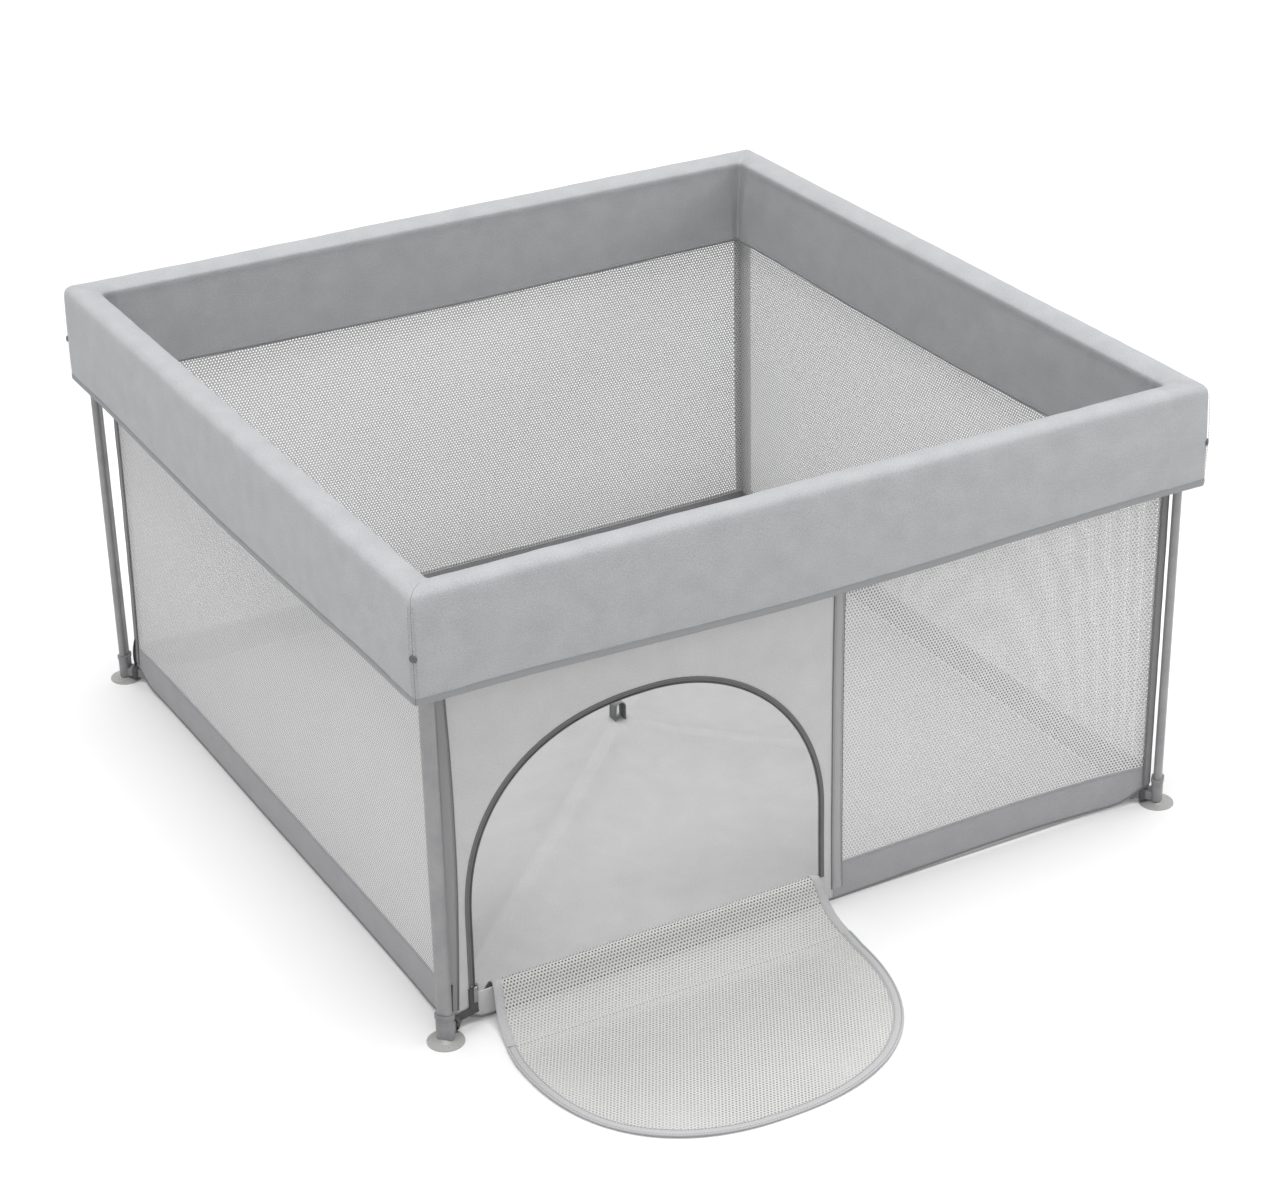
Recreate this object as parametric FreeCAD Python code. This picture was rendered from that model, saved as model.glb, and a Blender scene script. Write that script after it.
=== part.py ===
"""Square folding playpen, open on top, with a door in its front wall.

Lengths are in millimetres and +Z is up. The origin is on the floor, under the middle of the hub.
-Y is the front, with the door, and -X is the left. The pen stands open, as it is used.

Four posts stand at the corners. Four arms run from a hub in the middle of the floor to the posts'
feet, and each side has two half rails that meet in a latch at its middle. Pulling the hub up lifts
the arms, brings the posts together and folds the half rails down between them.
"""

import FreeCAD
import Part
import math
import os

# Driving dimensions of the pen
PEN_HALF = 600.0  # middle of the pen to the outside of the top cover
PEN_HEIGHT = 660.0  # floor to the top of the cover
POST_OFFSET = 574.0  # middle of the pen to a post's axis, along X and along Y
RAIL_PIVOT_Z = 638.0  # height of the half rails' pivots
RAIL_DROP = 14.0  # a rail's tube lies this far below its pivots, so two fold side by side
ARM_PIVOT_Z = 13.0  # height of the base arms' pivots
HUB_PIVOT_R = 25.0  # pen's middle to an arm's inner pivot
FOOT_PIVOT_R = 35.0  # post's axis to an arm's outer pivot, inwards along the diagonal

# Tubes
POST_WIDTH = 21.0  # the oval post's width, across the diagonal
POST_DEPTH = 12.0
RAIL_DIAMETER = 20.0
ARM_DIAMETER = 16.0
TUBE_WALL = 1.2

# Pins and pivots
PIN_R = 3.0
PIN_HOLE_R = 3.05
PIN_HEAD_R = 4.5
PIN_HEAD = 1.0
CHEEK = 4.5  # thickness of one clevis cheek
RAIL_LUG = 10.0  # thickness of the lug in a rail's clevis
RAIL_GAP = 11.0  # width of that clevis between its cheeks
RAIL_EYE_R = 8.0
RAIL_CHEEK_R = 9.0
RAIL_SWING_R = 25.0  # room behind the pivot for the lug of a rail that is folded down
ARM_LUG = 8.0
ARM_GAP = 9.0
ARM_EYE_R = 7.5
ARM_CHEEK_R = 8.0

# Foot
SUCTION_R = 25.0
SUCTION_HEIGHT = 7.0
FOOT_TOP_Z = 42.0
FOOT_RIM = 5.0
POST_BOTTOM_Z = 14.0

# Corner bracket on the top of a post
POST_TOP_Z = 612.0
BRACKET_BOTTOM_Z = 574.0
BRACKET_TOP_Z = 646.0

# Fittings in the tubes' ends
COLLAR_WIDTH = 4.0
COLLAR_PROUD = 1.0
ARM_NECK_LENGTH = 14.0
ARM_NECK_HALF = 6.0
ARM_PLUG = 18.0
RAIL_NECK_LENGTH = 18.0
RAIL_NECK_TOP = -5.0  # from the pivot, as are the next five
RAIL_NECK_BOTTOM = -23.0
RAIL_NECK_BACK = 9.0
RAIL_NECK_HEEL_X = -6.5
RAIL_NECK_HEEL_Z = -4.5
RAIL_PLUG = 20.0
KNUCKLE_WEB = 22.0
KNUCKLE_WEB_END = -4.0
SOCKET_WALL = 2.0  # plastic round the post's foot
SOCKET_RIM = 3.0
CAP_WALL = 2.5  # plastic round the post's top
STUD_R = 4.0  # suction cup's stud
STUD_HEIGHT = 4.0
SLOT_CLEAR = 1.0

# Latch at the middle of each side
LATCH_LENGTH = 40.0
LATCH_WIDTH = 22.0
LATCH_HALF_HEIGHT = 11.0
LATCH_SPLIT = 0.2  # gap from the pen's middle plane to each latch half
KNUCKLE_CLEAR_R = 9.6
BUTTON_R = 5.8
BUTTON_BORE_R = 6.2
BUTTON_FROM_MIDDLE = 22.0
BUTTON_BOTTOM_Z = 606.0
BUTTON_TOP_Z = 624.5
BUTTON_TRAVEL = 4.0

# Padded cover over the rails
COVER_DEPTH = 148.0  # top of the cover to the bottom of its outer panel
COVER_WIDTH = 59.0
COVER_SKIN = 4.0
COVER_INSIDE_BOTTOM_Z = 522.0
# The cover's section: distance in from its outer face, and down from its top. The outside runs from
# the outer panel over the rail, and slopes down to the inner panel.
COVER_OUTLINE = [(0.0, 14.0), (8.0, 2.0), (14.0, 0.0), (28.0, 0.0), (42.0, 8.5), (45.5, 18.0)]
COVER_LINING = [(4.0, 19.0), (8.0, 12.0), (14.0, 8.0), (27.0, 8.0), (38.0, 11.5), (41.4, 19.0)]
COVER_SPLIT = 0.3

# Fabric walls and floor
WALL_OUTSIDE = 553.5  # middle of the pen to the walls' outer face
WALL_THICKNESS = 2.0
WALL_BOTTOM_Z = 5.0
WALL_TOP_Z = 575.0
WALL_SPLIT = 0.2
WALL_NOTCH_HALF = 16.0  # the walls' bottom corner is open for the foot's clevis
WALL_NOTCH_TOP_Z = 26.0
FRONT_SEAM_X = 30.0
FLOOR_BOTTOM_Z = 1.0
FLOOR_THICKNESS = 2.5
FLOOR_EDGE = 551.0
FLOOR_SPLIT = 0.2
RIDGE_TOP_Z = 22.5  # underside of the floor where it lies over an arm
RIDGE_TOP_HALF = 12.5
RIDGE_FOOT_HALF = 70.0
PEAK_TOP_Z = 26.0  # underside of the floor where it lies over the hub
PEAK_TOP_R = 38.0
PEAK_FOOT_R = 130.0
SLIT_CLEAR = 0.5

# Door in the front wall
DOOR_X = -253.0
DOOR_SILL_Z = 45.0
DOOR_SPRING_Z = 160.0  # the sides are straight up to here, and an arch goes on from here
OPENING_R = 265.0
FLAP_R = 262.0
FLAP_BOTTOM_Z = 0.5
FLAP_THICKNESS = 2.0
DOOR_AXIS_Y = -532.0  # the flap turns about this line, from the floor into the wall's plane
DOOR_AXIS_Z = 22.0
FLAP_NEAR_GAP = 1.0
ZIP_WIDTH = 8.0
ZIP_THICKNESS = 1.5
SLIDER_BOTTOM_Z = 47.0
SLIDER_LENGTH = 12.0
SLIDER_PLATE = 3.0
SLIDER_CLEAR = 0.4
SLIDER_FLANGE = 1.1
PULL_WIDTH = 6.0
PULL_LENGTH = 22.0
PULL_THICKNESS = 1.2
PULL_PIN_R = 0.8
PULL_HOLE_R = 0.87
PULL_EYE_R = 1.6
PULL_EYE_HALF = 1.8
PULL_SHOULDER = 3.5  # pivot to the tab's shoulder
PULL_PIVOT_DOWN = 3.0  # slider's top to the pivot
EAR_NEAR = 2.2  # slider's middle to the ears' faces
EAR_FAR = 3.6
EAR_REACH = 1.6
EAR_HALF_HEIGHT = 2.0
PULL_PIVOT_OUT = 2.2  # slider's face to the pull's pivot

# Hub and lift loop
HUB_R = 34.0
HUB_PLATE_BOTTOM_Z = 21.5
HUB_TOP_Z = 25.0
HUB_CORE_R = 13.0
LOOP_WIDTH = 20.0
LOOP_THICKNESS = 1.6
LOOP_LEG_X = 8.0
LOOP_TOP_Z = 64.0
LOOP_SINK = 1.5  # loop's sole let into the hub

# Worked out
PIVOT_INSET = (HUB_PIVOT_R + FOOT_PIVOT_R) / math.sqrt(2)  # post's axis to a rail's pivot
FOOT_PIVOT_AT = POST_OFFSET * math.sqrt(2) - FOOT_PIVOT_R  # pen's middle to an outer pivot
RAIL_PIVOT_X = POST_OFFSET - PIVOT_INSET
RAIL_Z = RAIL_PIVOT_Z - RAIL_DROP
RAIL_R = RAIL_DIAMETER / 2
ARM_R = ARM_DIAMETER / 2
COVER_BOTTOM_Z = PEN_HEIGHT - COVER_DEPTH
COVER_INSIDE = PEN_HALF - COVER_WIDTH
WALL_INSIDE = WALL_OUTSIDE - WALL_THICKNESS
ZIP_R = OPENING_R + ZIP_WIDTH

CORNERS = ["front_left", "front_right", "back_right", "back_left"]
SIDES = ["front", "right", "back", "left"]
# each side's half rail that carries the button, and the one that meets it
HALF_RAILS = [("left", "right"), ("front", "back"), ("right", "left"), ("back", "front")]

X_AXIS = FreeCAD.Vector(1, 0, 0)
Y_AXIS = FreeCAD.Vector(0, 1, 0)
Z_AXIS = FreeCAD.Vector(0, 0, 1)
ORIGIN = FreeCAD.Vector(0, 0, 0)


# Basic solids


def box(x, y, z):
    """A box between the given low and high X, Y and Z."""
    low = FreeCAD.Vector(x[0], y[0], z[0])
    return Part.makeBox(x[1] - x[0], y[1] - y[0], z[1] - z[0], low)


def rod(radius, start, end):
    """A round rod from one point to another."""
    a = FreeCAD.Vector(*start)
    b = FreeCAD.Vector(*end)
    return Part.makeCylinder(radius, (b - a).Length, a, b - a)


def across(radius, x, z, half):
    """A round rod along Y at the given X and Z, reaching half each way."""
    return rod(radius, (x, -half, z), (x, half, z))


def prism_xz(points, half):
    """A plate whose outline is given in X and Z, reaching half each way along Y."""
    outline = [FreeCAD.Vector(x, -half, z) for x, z in points]
    face = Part.Face(Part.makePolygon(outline + outline[:1]))
    return face.extrude(FreeCAD.Vector(0, 2 * half, 0))


def oval(width, depth, bottom, top):
    """An upright oval bar, width along Y and depth along X, with round ends."""
    radius = depth / 2
    reach = width / 2 - radius
    middle = box((-radius, radius), (-reach, reach), (bottom, top))
    ends = [rod(radius, (0, y, bottom), (0, y, top)) for y in (-reach, reach)]
    return middle.multiFuse(ends).removeSplitter()


def tube_x(radius, start, end, z):
    """A round tube along X with the frame's wall thickness."""
    outside = rod(radius, (start, 0, z), (end, 0, z))
    return outside.cut(rod(radius - TUBE_WALL, (start, 0, z), (end, 0, z)))


def headed_pin(x, z, half):
    """A pivot pin along Y with a low head on each end, outside a clevis of the given half width."""
    heads = [rod(PIN_HEAD_R, (x, side * half, z), (x, side * (half + PIN_HEAD), z)) for side in (-1, 1)]
    return across(PIN_R, x, z, half).multiFuse(heads)


# Placing


def turned(shape, degrees):
    """A copy turned about the pen's upright middle axis."""
    copy = shape.copy()
    copy.rotate(ORIGIN, Z_AXIS, degrees)
    return copy


def at_corner(shape, corner):
    """From a post's own frame, +X inwards along the diagonal, to its corner of the pen."""
    copy = turned(shape, 45)
    copy.translate(FreeCAD.Vector(-POST_OFFSET, -POST_OFFSET, 0))
    return turned(copy, 90 * corner)


def on_arm(shape, corner):
    """From an arm's own frame, +X outwards from the hub, to its diagonal of the pen."""
    return turned(shape, 225 + 90 * corner)


def on_side(shape, side):
    """From the pen's middle line, with X along the side, to the rails' line on a side."""
    copy = shape.copy()
    copy.translate(FreeCAD.Vector(0, -POST_OFFSET, 0))
    return turned(copy, 90 * side)


def mirrored(shape):
    """The same shape on the other side of the plane X = 0."""
    return shape.mirror(ORIGIN, X_AXIS)


def save(name, shapes):
    """Write one node, made of one or more separate solids."""
    compound = Part.makeCompound(shapes)
    compound.exportStep(f"parts/{name}.step")


# Posts, feet and corner brackets


def post_tube():
    inner_width = POST_WIDTH - 2 * TUBE_WALL
    inner_depth = POST_DEPTH - 2 * TUBE_WALL
    bore = oval(inner_width, inner_depth, POST_BOTTOM_Z, POST_TOP_Z)
    return oval(POST_WIDTH, POST_DEPTH, POST_BOTTOM_Z, POST_TOP_Z).cut(bore)


def suction_foot():
    """A soft cup that spreads on the floor, with a stud up into the foot bracket."""
    stud_top = SUCTION_HEIGHT + STUD_HEIGHT
    outline = [
        (0.0, 2.2), (12.0, 1.4), (23.0, 0.0), (SUCTION_R, 0.0), (SUCTION_R, 1.2), (14.0, 3.6),
        (9.0, SUCTION_HEIGHT), (STUD_R, SUCTION_HEIGHT), (STUD_R, stud_top), (0.0, stud_top),
    ]
    points = [FreeCAD.Vector(r, 0, z) for r, z in outline]
    face = Part.Face(Part.makePolygon(points + points[:1]))
    return face.revolve(ORIGIN, Z_AXIS, 360)


def foot_bracket():
    """An oval socket for the post, with a rim, and a clevis towards the pen's middle."""
    rim_z = FOOT_TOP_Z - FOOT_RIM
    body = oval(POST_WIDTH + 2 * SOCKET_WALL, POST_DEPTH + 2 * SOCKET_WALL, SUCTION_HEIGHT, FOOT_TOP_Z)
    rim = oval(POST_WIDTH + 2 * SOCKET_RIM, POST_DEPTH + 2 * SOCKET_RIM, rim_z, FOOT_TOP_Z)
    half = ARM_GAP / 2 + CHEEK
    bar = box((0, FOOT_PIVOT_R), (-half, half), (SUCTION_HEIGHT + SLOT_CLEAR, ARM_PIVOT_Z + ARM_CHEEK_R))
    body = body.multiFuse([rim, bar, across(ARM_CHEEK_R, FOOT_PIVOT_R, ARM_PIVOT_Z, half)])
    slot_start = FOOT_PIVOT_R - ARM_EYE_R - 2 * SLOT_CLEAR
    slot_end = FOOT_PIVOT_R + ARM_CHEEK_R + SLOT_CLEAR
    slot = box((slot_start, slot_end), (-ARM_GAP / 2, ARM_GAP / 2), (0, FOOT_TOP_Z))
    body = body.cut(slot)
    body = body.cut(oval(POST_WIDTH, POST_DEPTH, POST_BOTTOM_Z, FOOT_TOP_Z))
    body = body.cut(rod(STUD_R, (0, 0, SUCTION_HEIGHT), (0, 0, SUCTION_HEIGHT + STUD_HEIGHT)))
    body = body.cut(across(PIN_R, FOOT_PIVOT_R, ARM_PIVOT_Z, half))
    return [body, headed_pin(FOOT_PIVOT_R, ARM_PIVOT_Z, half)]


def rail_clevis():
    """One clevis of a corner bracket, along +X from the post's axis, open below."""
    half = RAIL_GAP / 2 + CHEEK
    root = box((0, PIVOT_INSET), (-half, half), (RAIL_PIVOT_Z - RAIL_CHEEK_R, BRACKET_TOP_Z))
    eye = across(RAIL_CHEEK_R, PIVOT_INSET, RAIL_PIVOT_Z, half)
    slot_start = PIVOT_INSET - RAIL_SWING_R
    slot_end = PIVOT_INSET + RAIL_CHEEK_R + SLOT_CLEAR
    slot = box((slot_start, slot_end), (-RAIL_GAP / 2, RAIL_GAP / 2), (BRACKET_BOTTOM_Z, PEN_HEIGHT))
    corner_block = box((PIVOT_INSET, slot_end), (-half, half), (RAIL_PIVOT_Z, PEN_HEIGHT))
    body = root.cut(corner_block).fuse(eye)
    return body.cut(slot)


def corner_bracket():
    """A cap on the post with a clevis along each of the two sides that meet there."""
    half = RAIL_GAP / 2 + CHEEK
    cap = oval(POST_WIDTH + 2 * CAP_WALL, POST_DEPTH + 2 * CAP_WALL, BRACKET_BOTTOM_Z, BRACKET_TOP_Z)
    body = cap.multiFuse([turned(rail_clevis(), -45), turned(rail_clevis(), 45)])
    body = body.cut(oval(POST_WIDTH, POST_DEPTH, BRACKET_BOTTOM_Z, POST_TOP_Z))
    hole = across(PIN_R, PIVOT_INSET, RAIL_PIVOT_Z, half)
    body = body.cut(turned(hole, -45)).cut(turned(hole, 45))
    pin = headed_pin(PIVOT_INSET, RAIL_PIVOT_Z, half)
    return [body, turned(pin, -45), turned(pin, 45)]


# Base arms and hub


def arm_end():
    """The fitting in an arm's end: a lug with its hole at X = 0, a collar and a plug along +X."""
    collar_end = ARM_NECK_LENGTH + COLLAR_WIDTH
    lug = across(ARM_EYE_R, 0, 0, ARM_LUG / 2)
    neck = box((0, ARM_NECK_LENGTH), (-ARM_LUG / 2, ARM_LUG / 2), (-ARM_NECK_HALF, ARM_NECK_HALF))
    ring = rod(ARM_R + COLLAR_PROUD, (ARM_NECK_LENGTH, 0, 0), (collar_end, 0, 0))
    stub = rod(ARM_R - TUBE_WALL, (collar_end, 0, 0), (collar_end + ARM_PLUG, 0, 0))
    body = lug.multiFuse([neck, ring, stub])
    return body.cut(across(PIN_HOLE_R, 0, 0, ARM_LUG))


def arm():
    """A base arm along +X: a round tube and a fitting in each end."""
    fitting = ARM_NECK_LENGTH + COLLAR_WIDTH
    tube_start = HUB_PIVOT_R + fitting
    tube_end = FOOT_PIVOT_AT - fitting
    inner = arm_end()
    outer = mirrored(inner)
    inner.translate(FreeCAD.Vector(HUB_PIVOT_R, 0, ARM_PIVOT_Z))
    outer.translate(FreeCAD.Vector(FOOT_PIVOT_AT, 0, ARM_PIVOT_Z))
    return [tube_x(ARM_R, tube_start, tube_end, ARM_PIVOT_Z), inner, outer]


def hub_body():
    """A round plate on a core that stands on the floor, with a clevis for each arm below it."""
    half = ARM_GAP / 2 + CHEEK
    body = rod(HUB_R, (0, 0, HUB_PLATE_BOTTOM_Z), (0, 0, HUB_TOP_Z))
    body = body.fuse(rod(HUB_CORE_R, (0, 0, 0), (0, 0, HUB_TOP_Z)))
    slot_start = HUB_PIVOT_R - ARM_EYE_R - SLOT_CLEAR
    slot_end = HUB_R + SLOT_CLEAR
    for corner in range(len(CORNERS)):
        root = box((0, HUB_PIVOT_R), (-half, half), (ARM_PIVOT_Z, HUB_TOP_Z))
        ears = root.fuse(across(ARM_CHEEK_R, HUB_PIVOT_R, ARM_PIVOT_Z, half))
        body = body.fuse(on_arm(ears, corner))
    for corner in range(len(CORNERS)):
        slot = box((slot_start, slot_end), (-ARM_GAP / 2, ARM_GAP / 2), (0, HUB_PLATE_BOTTOM_Z))
        body = body.cut(on_arm(slot, corner))
        body = body.cut(on_arm(across(PIN_R, HUB_PIVOT_R, ARM_PIVOT_Z, half), corner))
    loop_legs = box((-LOOP_LEG_X - LOOP_THICKNESS, LOOP_LEG_X + LOOP_THICKNESS),
                    (-LOOP_WIDTH / 2, LOOP_WIDTH / 2), (HUB_TOP_Z - LOOP_SINK, HUB_TOP_Z))
    return body.cut(loop_legs)


def hub_pins():
    half = ARM_GAP / 2 + CHEEK
    pin = across(PIN_R, HUB_PIVOT_R, ARM_PIVOT_Z, half)
    return [on_arm(pin, corner) for corner in range(len(CORNERS))]


def lift_loop():
    """A webbing loop that stands on the hub, for pulling the pen folded."""
    bend_r = LOOP_LEG_X + LOOP_THICKNESS / 2
    bend_z = LOOP_TOP_Z - bend_r
    foot_z = HUB_TOP_Z - LOOP_SINK
    half = LOOP_WIDTH / 2
    outer = box((-bend_r, bend_r), (-half, half), (foot_z, bend_z)).fuse(across(bend_r, 0, bend_z, half))
    inner_r = bend_r - LOOP_THICKNESS
    sole_z = foot_z + LOOP_THICKNESS
    inner = box((-inner_r, inner_r), (-half, half), (sole_z, bend_z))
    return outer.cut(inner.fuse(across(inner_r, 0, bend_z, half)))


# Half rails and latches


def rail_corner_end():
    """The fitting at a half rail's corner end: pivot at the origin, tube along +X, lower down."""
    end = RAIL_NECK_LENGTH
    collar_end = end + COLLAR_WIDTH
    lug_points = [(0, RAIL_EYE_R), (end, RAIL_NECK_TOP), (end, RAIL_NECK_BOTTOM),
                  (RAIL_NECK_BACK, RAIL_NECK_BOTTOM), (RAIL_NECK_HEEL_X, RAIL_NECK_HEEL_Z)]
    lug = prism_xz(lug_points, RAIL_LUG / 2).fuse(across(RAIL_EYE_R, 0, 0, RAIL_LUG / 2))
    ring = rod(RAIL_R + COLLAR_PROUD, (end, 0, -RAIL_DROP), (collar_end, 0, -RAIL_DROP))
    stub_end = collar_end + RAIL_PLUG
    stub = rod(RAIL_R - TUBE_WALL, (collar_end, 0, -RAIL_DROP), (stub_end, 0, -RAIL_DROP))
    return lug.multiFuse([ring, stub]).cut(across(PIN_HOLE_R, 0, 0, RAIL_LUG))


def latch_block():
    """The body of one latch half, from the rail's end at the left to the middle plane."""
    left = -LATCH_LENGTH
    z = (-RAIL_DROP - LATCH_HALF_HEIGHT, -RAIL_DROP + LATCH_HALF_HEIGHT)
    block = box((left, -LATCH_SPLIT), (-LATCH_WIDTH / 2, LATCH_WIDTH / 2), z)
    collar = left - COLLAR_WIDTH
    ring = rod(RAIL_R + COLLAR_PROUD, (collar, 0, -RAIL_DROP), (left, 0, -RAIL_DROP))
    stub = rod(RAIL_R - TUBE_WALL, (collar - RAIL_PLUG, 0, -RAIL_DROP), (collar, 0, -RAIL_DROP))
    return block.multiFuse([ring, stub])


def knuckle(half):
    """A rounded ear about the latch pivot, running down into its own latch half."""
    web = [(0, RAIL_CHEEK_R), (0, -RAIL_DROP), (-KNUCKLE_WEB, -RAIL_DROP),
           (-KNUCKLE_WEB, KNUCKLE_WEB_END), (-RAIL_CHEEK_R, 0)]
    below = box((-LATCH_LENGTH, -LATCH_SPLIT), (-half, half), (-RAIL_DROP, RAIL_CHEEK_R))
    return prism_xz(web, half).common(below).fuse(across(RAIL_CHEEK_R, 0, 0, half))


def latch_with_cheeks():
    """The latch half that holds the pin and the button."""
    half = LATCH_WIDTH / 2
    gap = RAIL_GAP / 2
    body = latch_block().fuse(knuckle(half))
    body = body.cut(across(KNUCKLE_CLEAR_R, 0, 0, gap))
    body = body.cut(across(PIN_R, 0, 0, half))
    bore_bottom = -RAIL_DROP - LATCH_HALF_HEIGHT
    bore_top = BUTTON_TOP_Z + BUTTON_TRAVEL + 0.5 - RAIL_PIVOT_Z
    x = -BUTTON_FROM_MIDDLE
    body = body.cut(rod(BUTTON_BORE_R, (x, 0, bore_bottom), (x, 0, bore_top)))
    return [body, across(PIN_R, 0, 0, half)]


def latch_with_tongue():
    """The latch half whose tongue turns between the other half's cheeks."""
    gap = RAIL_GAP / 2
    tongue = RAIL_LUG / 2
    outer = box((-LATCH_LENGTH, KNUCKLE_CLEAR_R), (gap - 0.5, LATCH_WIDTH), (-40, 20))
    clear = across(KNUCKLE_CLEAR_R, 0, 0, LATCH_WIDTH)
    body = latch_block()
    for side in (outer, outer.mirror(ORIGIN, Y_AXIS)):
        body = body.cut(clear.common(side))
    return body.fuse(knuckle(tongue)).cut(across(PIN_HOLE_R, 0, 0, tongue))


def half_rail(latch_solids):
    """A half rail in the front side's left half, with X measured from the side's middle."""
    tube_start = RAIL_NECK_LENGTH + COLLAR_WIDTH - RAIL_PIVOT_X
    tube_end = -LATCH_LENGTH - COLLAR_WIDTH
    corner_end = rail_corner_end()
    corner_end.translate(FreeCAD.Vector(-RAIL_PIVOT_X, 0, RAIL_PIVOT_Z))
    solids = [tube_x(RAIL_R, tube_start, tube_end, RAIL_Z), corner_end]
    for solid in latch_solids:
        solid.translate(FreeCAD.Vector(0, 0, RAIL_PIVOT_Z))
        solids.append(solid)
    return solids


def latch_button():
    x = -BUTTON_FROM_MIDDLE
    return rod(BUTTON_R, (x, 0, BUTTON_BOTTOM_Z), (x, 0, BUTTON_TOP_Z))


# Padded cover


def cover_section():
    """The cover's section on the front side, as points in Y and Z."""
    outside = [(-PEN_HALF, COVER_BOTTOM_Z)]
    outside += [(-PEN_HALF + inwards, PEN_HEIGHT - down) for inwards, down in COVER_OUTLINE]
    outside.append((-COVER_INSIDE, COVER_INSIDE_BOTTOM_Z))
    lining = [(-PEN_HALF + COVER_SKIN, COVER_BOTTOM_Z)]
    lining += [(-PEN_HALF + inwards, PEN_HEIGHT - down) for inwards, down in COVER_LINING]
    lining.append((-COVER_INSIDE - COVER_SKIN, COVER_INSIDE_BOTTOM_Z))
    return outside + lining[::-1]


def cover_length(start, end):
    """The front side's cover from one X to another: a padded channel, open below."""
    points = [FreeCAD.Vector(start, y, z) for y, z in cover_section()]
    face = Part.Face(Part.makePolygon(points + points[:1]))
    return face.extrude(FreeCAD.Vector(end - start, 0, 0))


def cover_half():
    """The cover over the front side's left half rail."""
    return cover_length(-RAIL_PIVOT_X + COVER_SPLIT, -COVER_SPLIT)


def cover_corner():
    """The cover over the front left corner, between its two rails' covers."""
    length = cover_length(-PEN_HALF, -RAIL_PIVOT_X)
    corner = [(-PEN_HALF, -PEN_HALF), (0, 0), (0, -PEN_HALF)]
    points = [FreeCAD.Vector(x, y, 0) for x, y in corner]
    wedge = Part.Face(Part.makePolygon(points + points[:1])).extrude(FreeCAD.Vector(0, 0, PEN_HEIGHT))
    front = length.common(wedge)
    left = front.mirror(ORIGIN, FreeCAD.Vector(1, -1, 0))
    return front.fuse(left).removeSplitter()


# Fabric walls, floor and door


def wall(x_end, y_end):
    """A wall panel that turns the front left corner, to x_end on the front and y_end on the left."""
    z = (WALL_BOTTOM_Z, WALL_TOP_Z)
    panel = box((-WALL_OUTSIDE, x_end), (-WALL_OUTSIDE, -WALL_INSIDE), z)
    panel = panel.fuse(box((-WALL_OUTSIDE, -WALL_INSIDE), (-WALL_OUTSIDE, y_end), z))
    reach = 2 * WALL_NOTCH_HALF
    notch = box((-reach, reach), (-WALL_NOTCH_HALF, WALL_NOTCH_HALF), (0, WALL_NOTCH_TOP_Z))
    notch = turned(notch, 45)
    notch.translate(FreeCAD.Vector(-WALL_OUTSIDE, -WALL_OUTSIDE, 0))
    return panel.cut(notch)


def arch_in_wall(radius, outside, inside):
    """The door's outline as a plate in the front wall, from the sill up."""
    x = (DOOR_X - radius, DOOR_X + radius)
    plate = box(x, (outside, inside), (DOOR_SILL_Z, DOOR_SPRING_Z))
    disc = rod(radius, (DOOR_X, outside, DOOR_SPRING_Z), (DOOR_X, inside, DOOR_SPRING_Z))
    arch = disc.common(box(x, (outside, inside), (DOOR_SPRING_Z, DOOR_SPRING_Z + radius)))
    return plate.fuse(arch).removeSplitter()


def zip_track():
    """The zip's tape and teeth round the opening's sides and arch, on the wall's outer face."""
    outside = -WALL_OUTSIDE - ZIP_THICKNESS
    opening = arch_in_wall(OPENING_R, outside, -WALL_OUTSIDE)
    return arch_in_wall(ZIP_R, outside, -WALL_OUTSIDE).cut(opening)


def zip_slider():
    """A slider that straddles the track's left leg, with two ears for the pull's pin."""
    x = DOOR_X - OPENING_R - ZIP_WIDTH / 2
    reach = ZIP_WIDTH / 2 + SLIDER_CLEAR + SLIDER_FLANGE
    back = -WALL_OUTSIDE - SLIDER_CLEAR
    face = -WALL_OUTSIDE - ZIP_THICKNESS - SLIDER_CLEAR
    front = face - SLIDER_PLATE
    z = (SLIDER_BOTTOM_Z, SLIDER_BOTTOM_Z + SLIDER_LENGTH)
    body = box((x - reach, x + reach), (front, back), z)
    groove = ZIP_WIDTH / 2 + SLIDER_CLEAR
    body = body.cut(box((x - groove, x + groove), (face, back), z))
    pin_y, pin_z = pull_pivot()
    ear_y = (pin_y - EAR_REACH, front)
    ear_z = (pin_z - EAR_HALF_HEIGHT, pin_z + EAR_HALF_HEIGHT)
    ear = box((x + EAR_NEAR, x + EAR_FAR), ear_y, ear_z)
    other = box((x - EAR_FAR, x - EAR_NEAR), ear_y, ear_z)
    pin = rod(PULL_PIN_R, (x - EAR_FAR, pin_y, pin_z), (x + EAR_FAR, pin_y, pin_z))
    return body.multiFuse([ear, other, pin])


def pull_pivot():
    """The Y and Z of the zip pull's pivot."""
    front = -WALL_OUTSIDE - ZIP_THICKNESS - SLIDER_CLEAR - SLIDER_PLATE
    return front - PULL_PIVOT_OUT, SLIDER_BOTTOM_Z + SLIDER_LENGTH - PULL_PIVOT_DOWN


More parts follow.
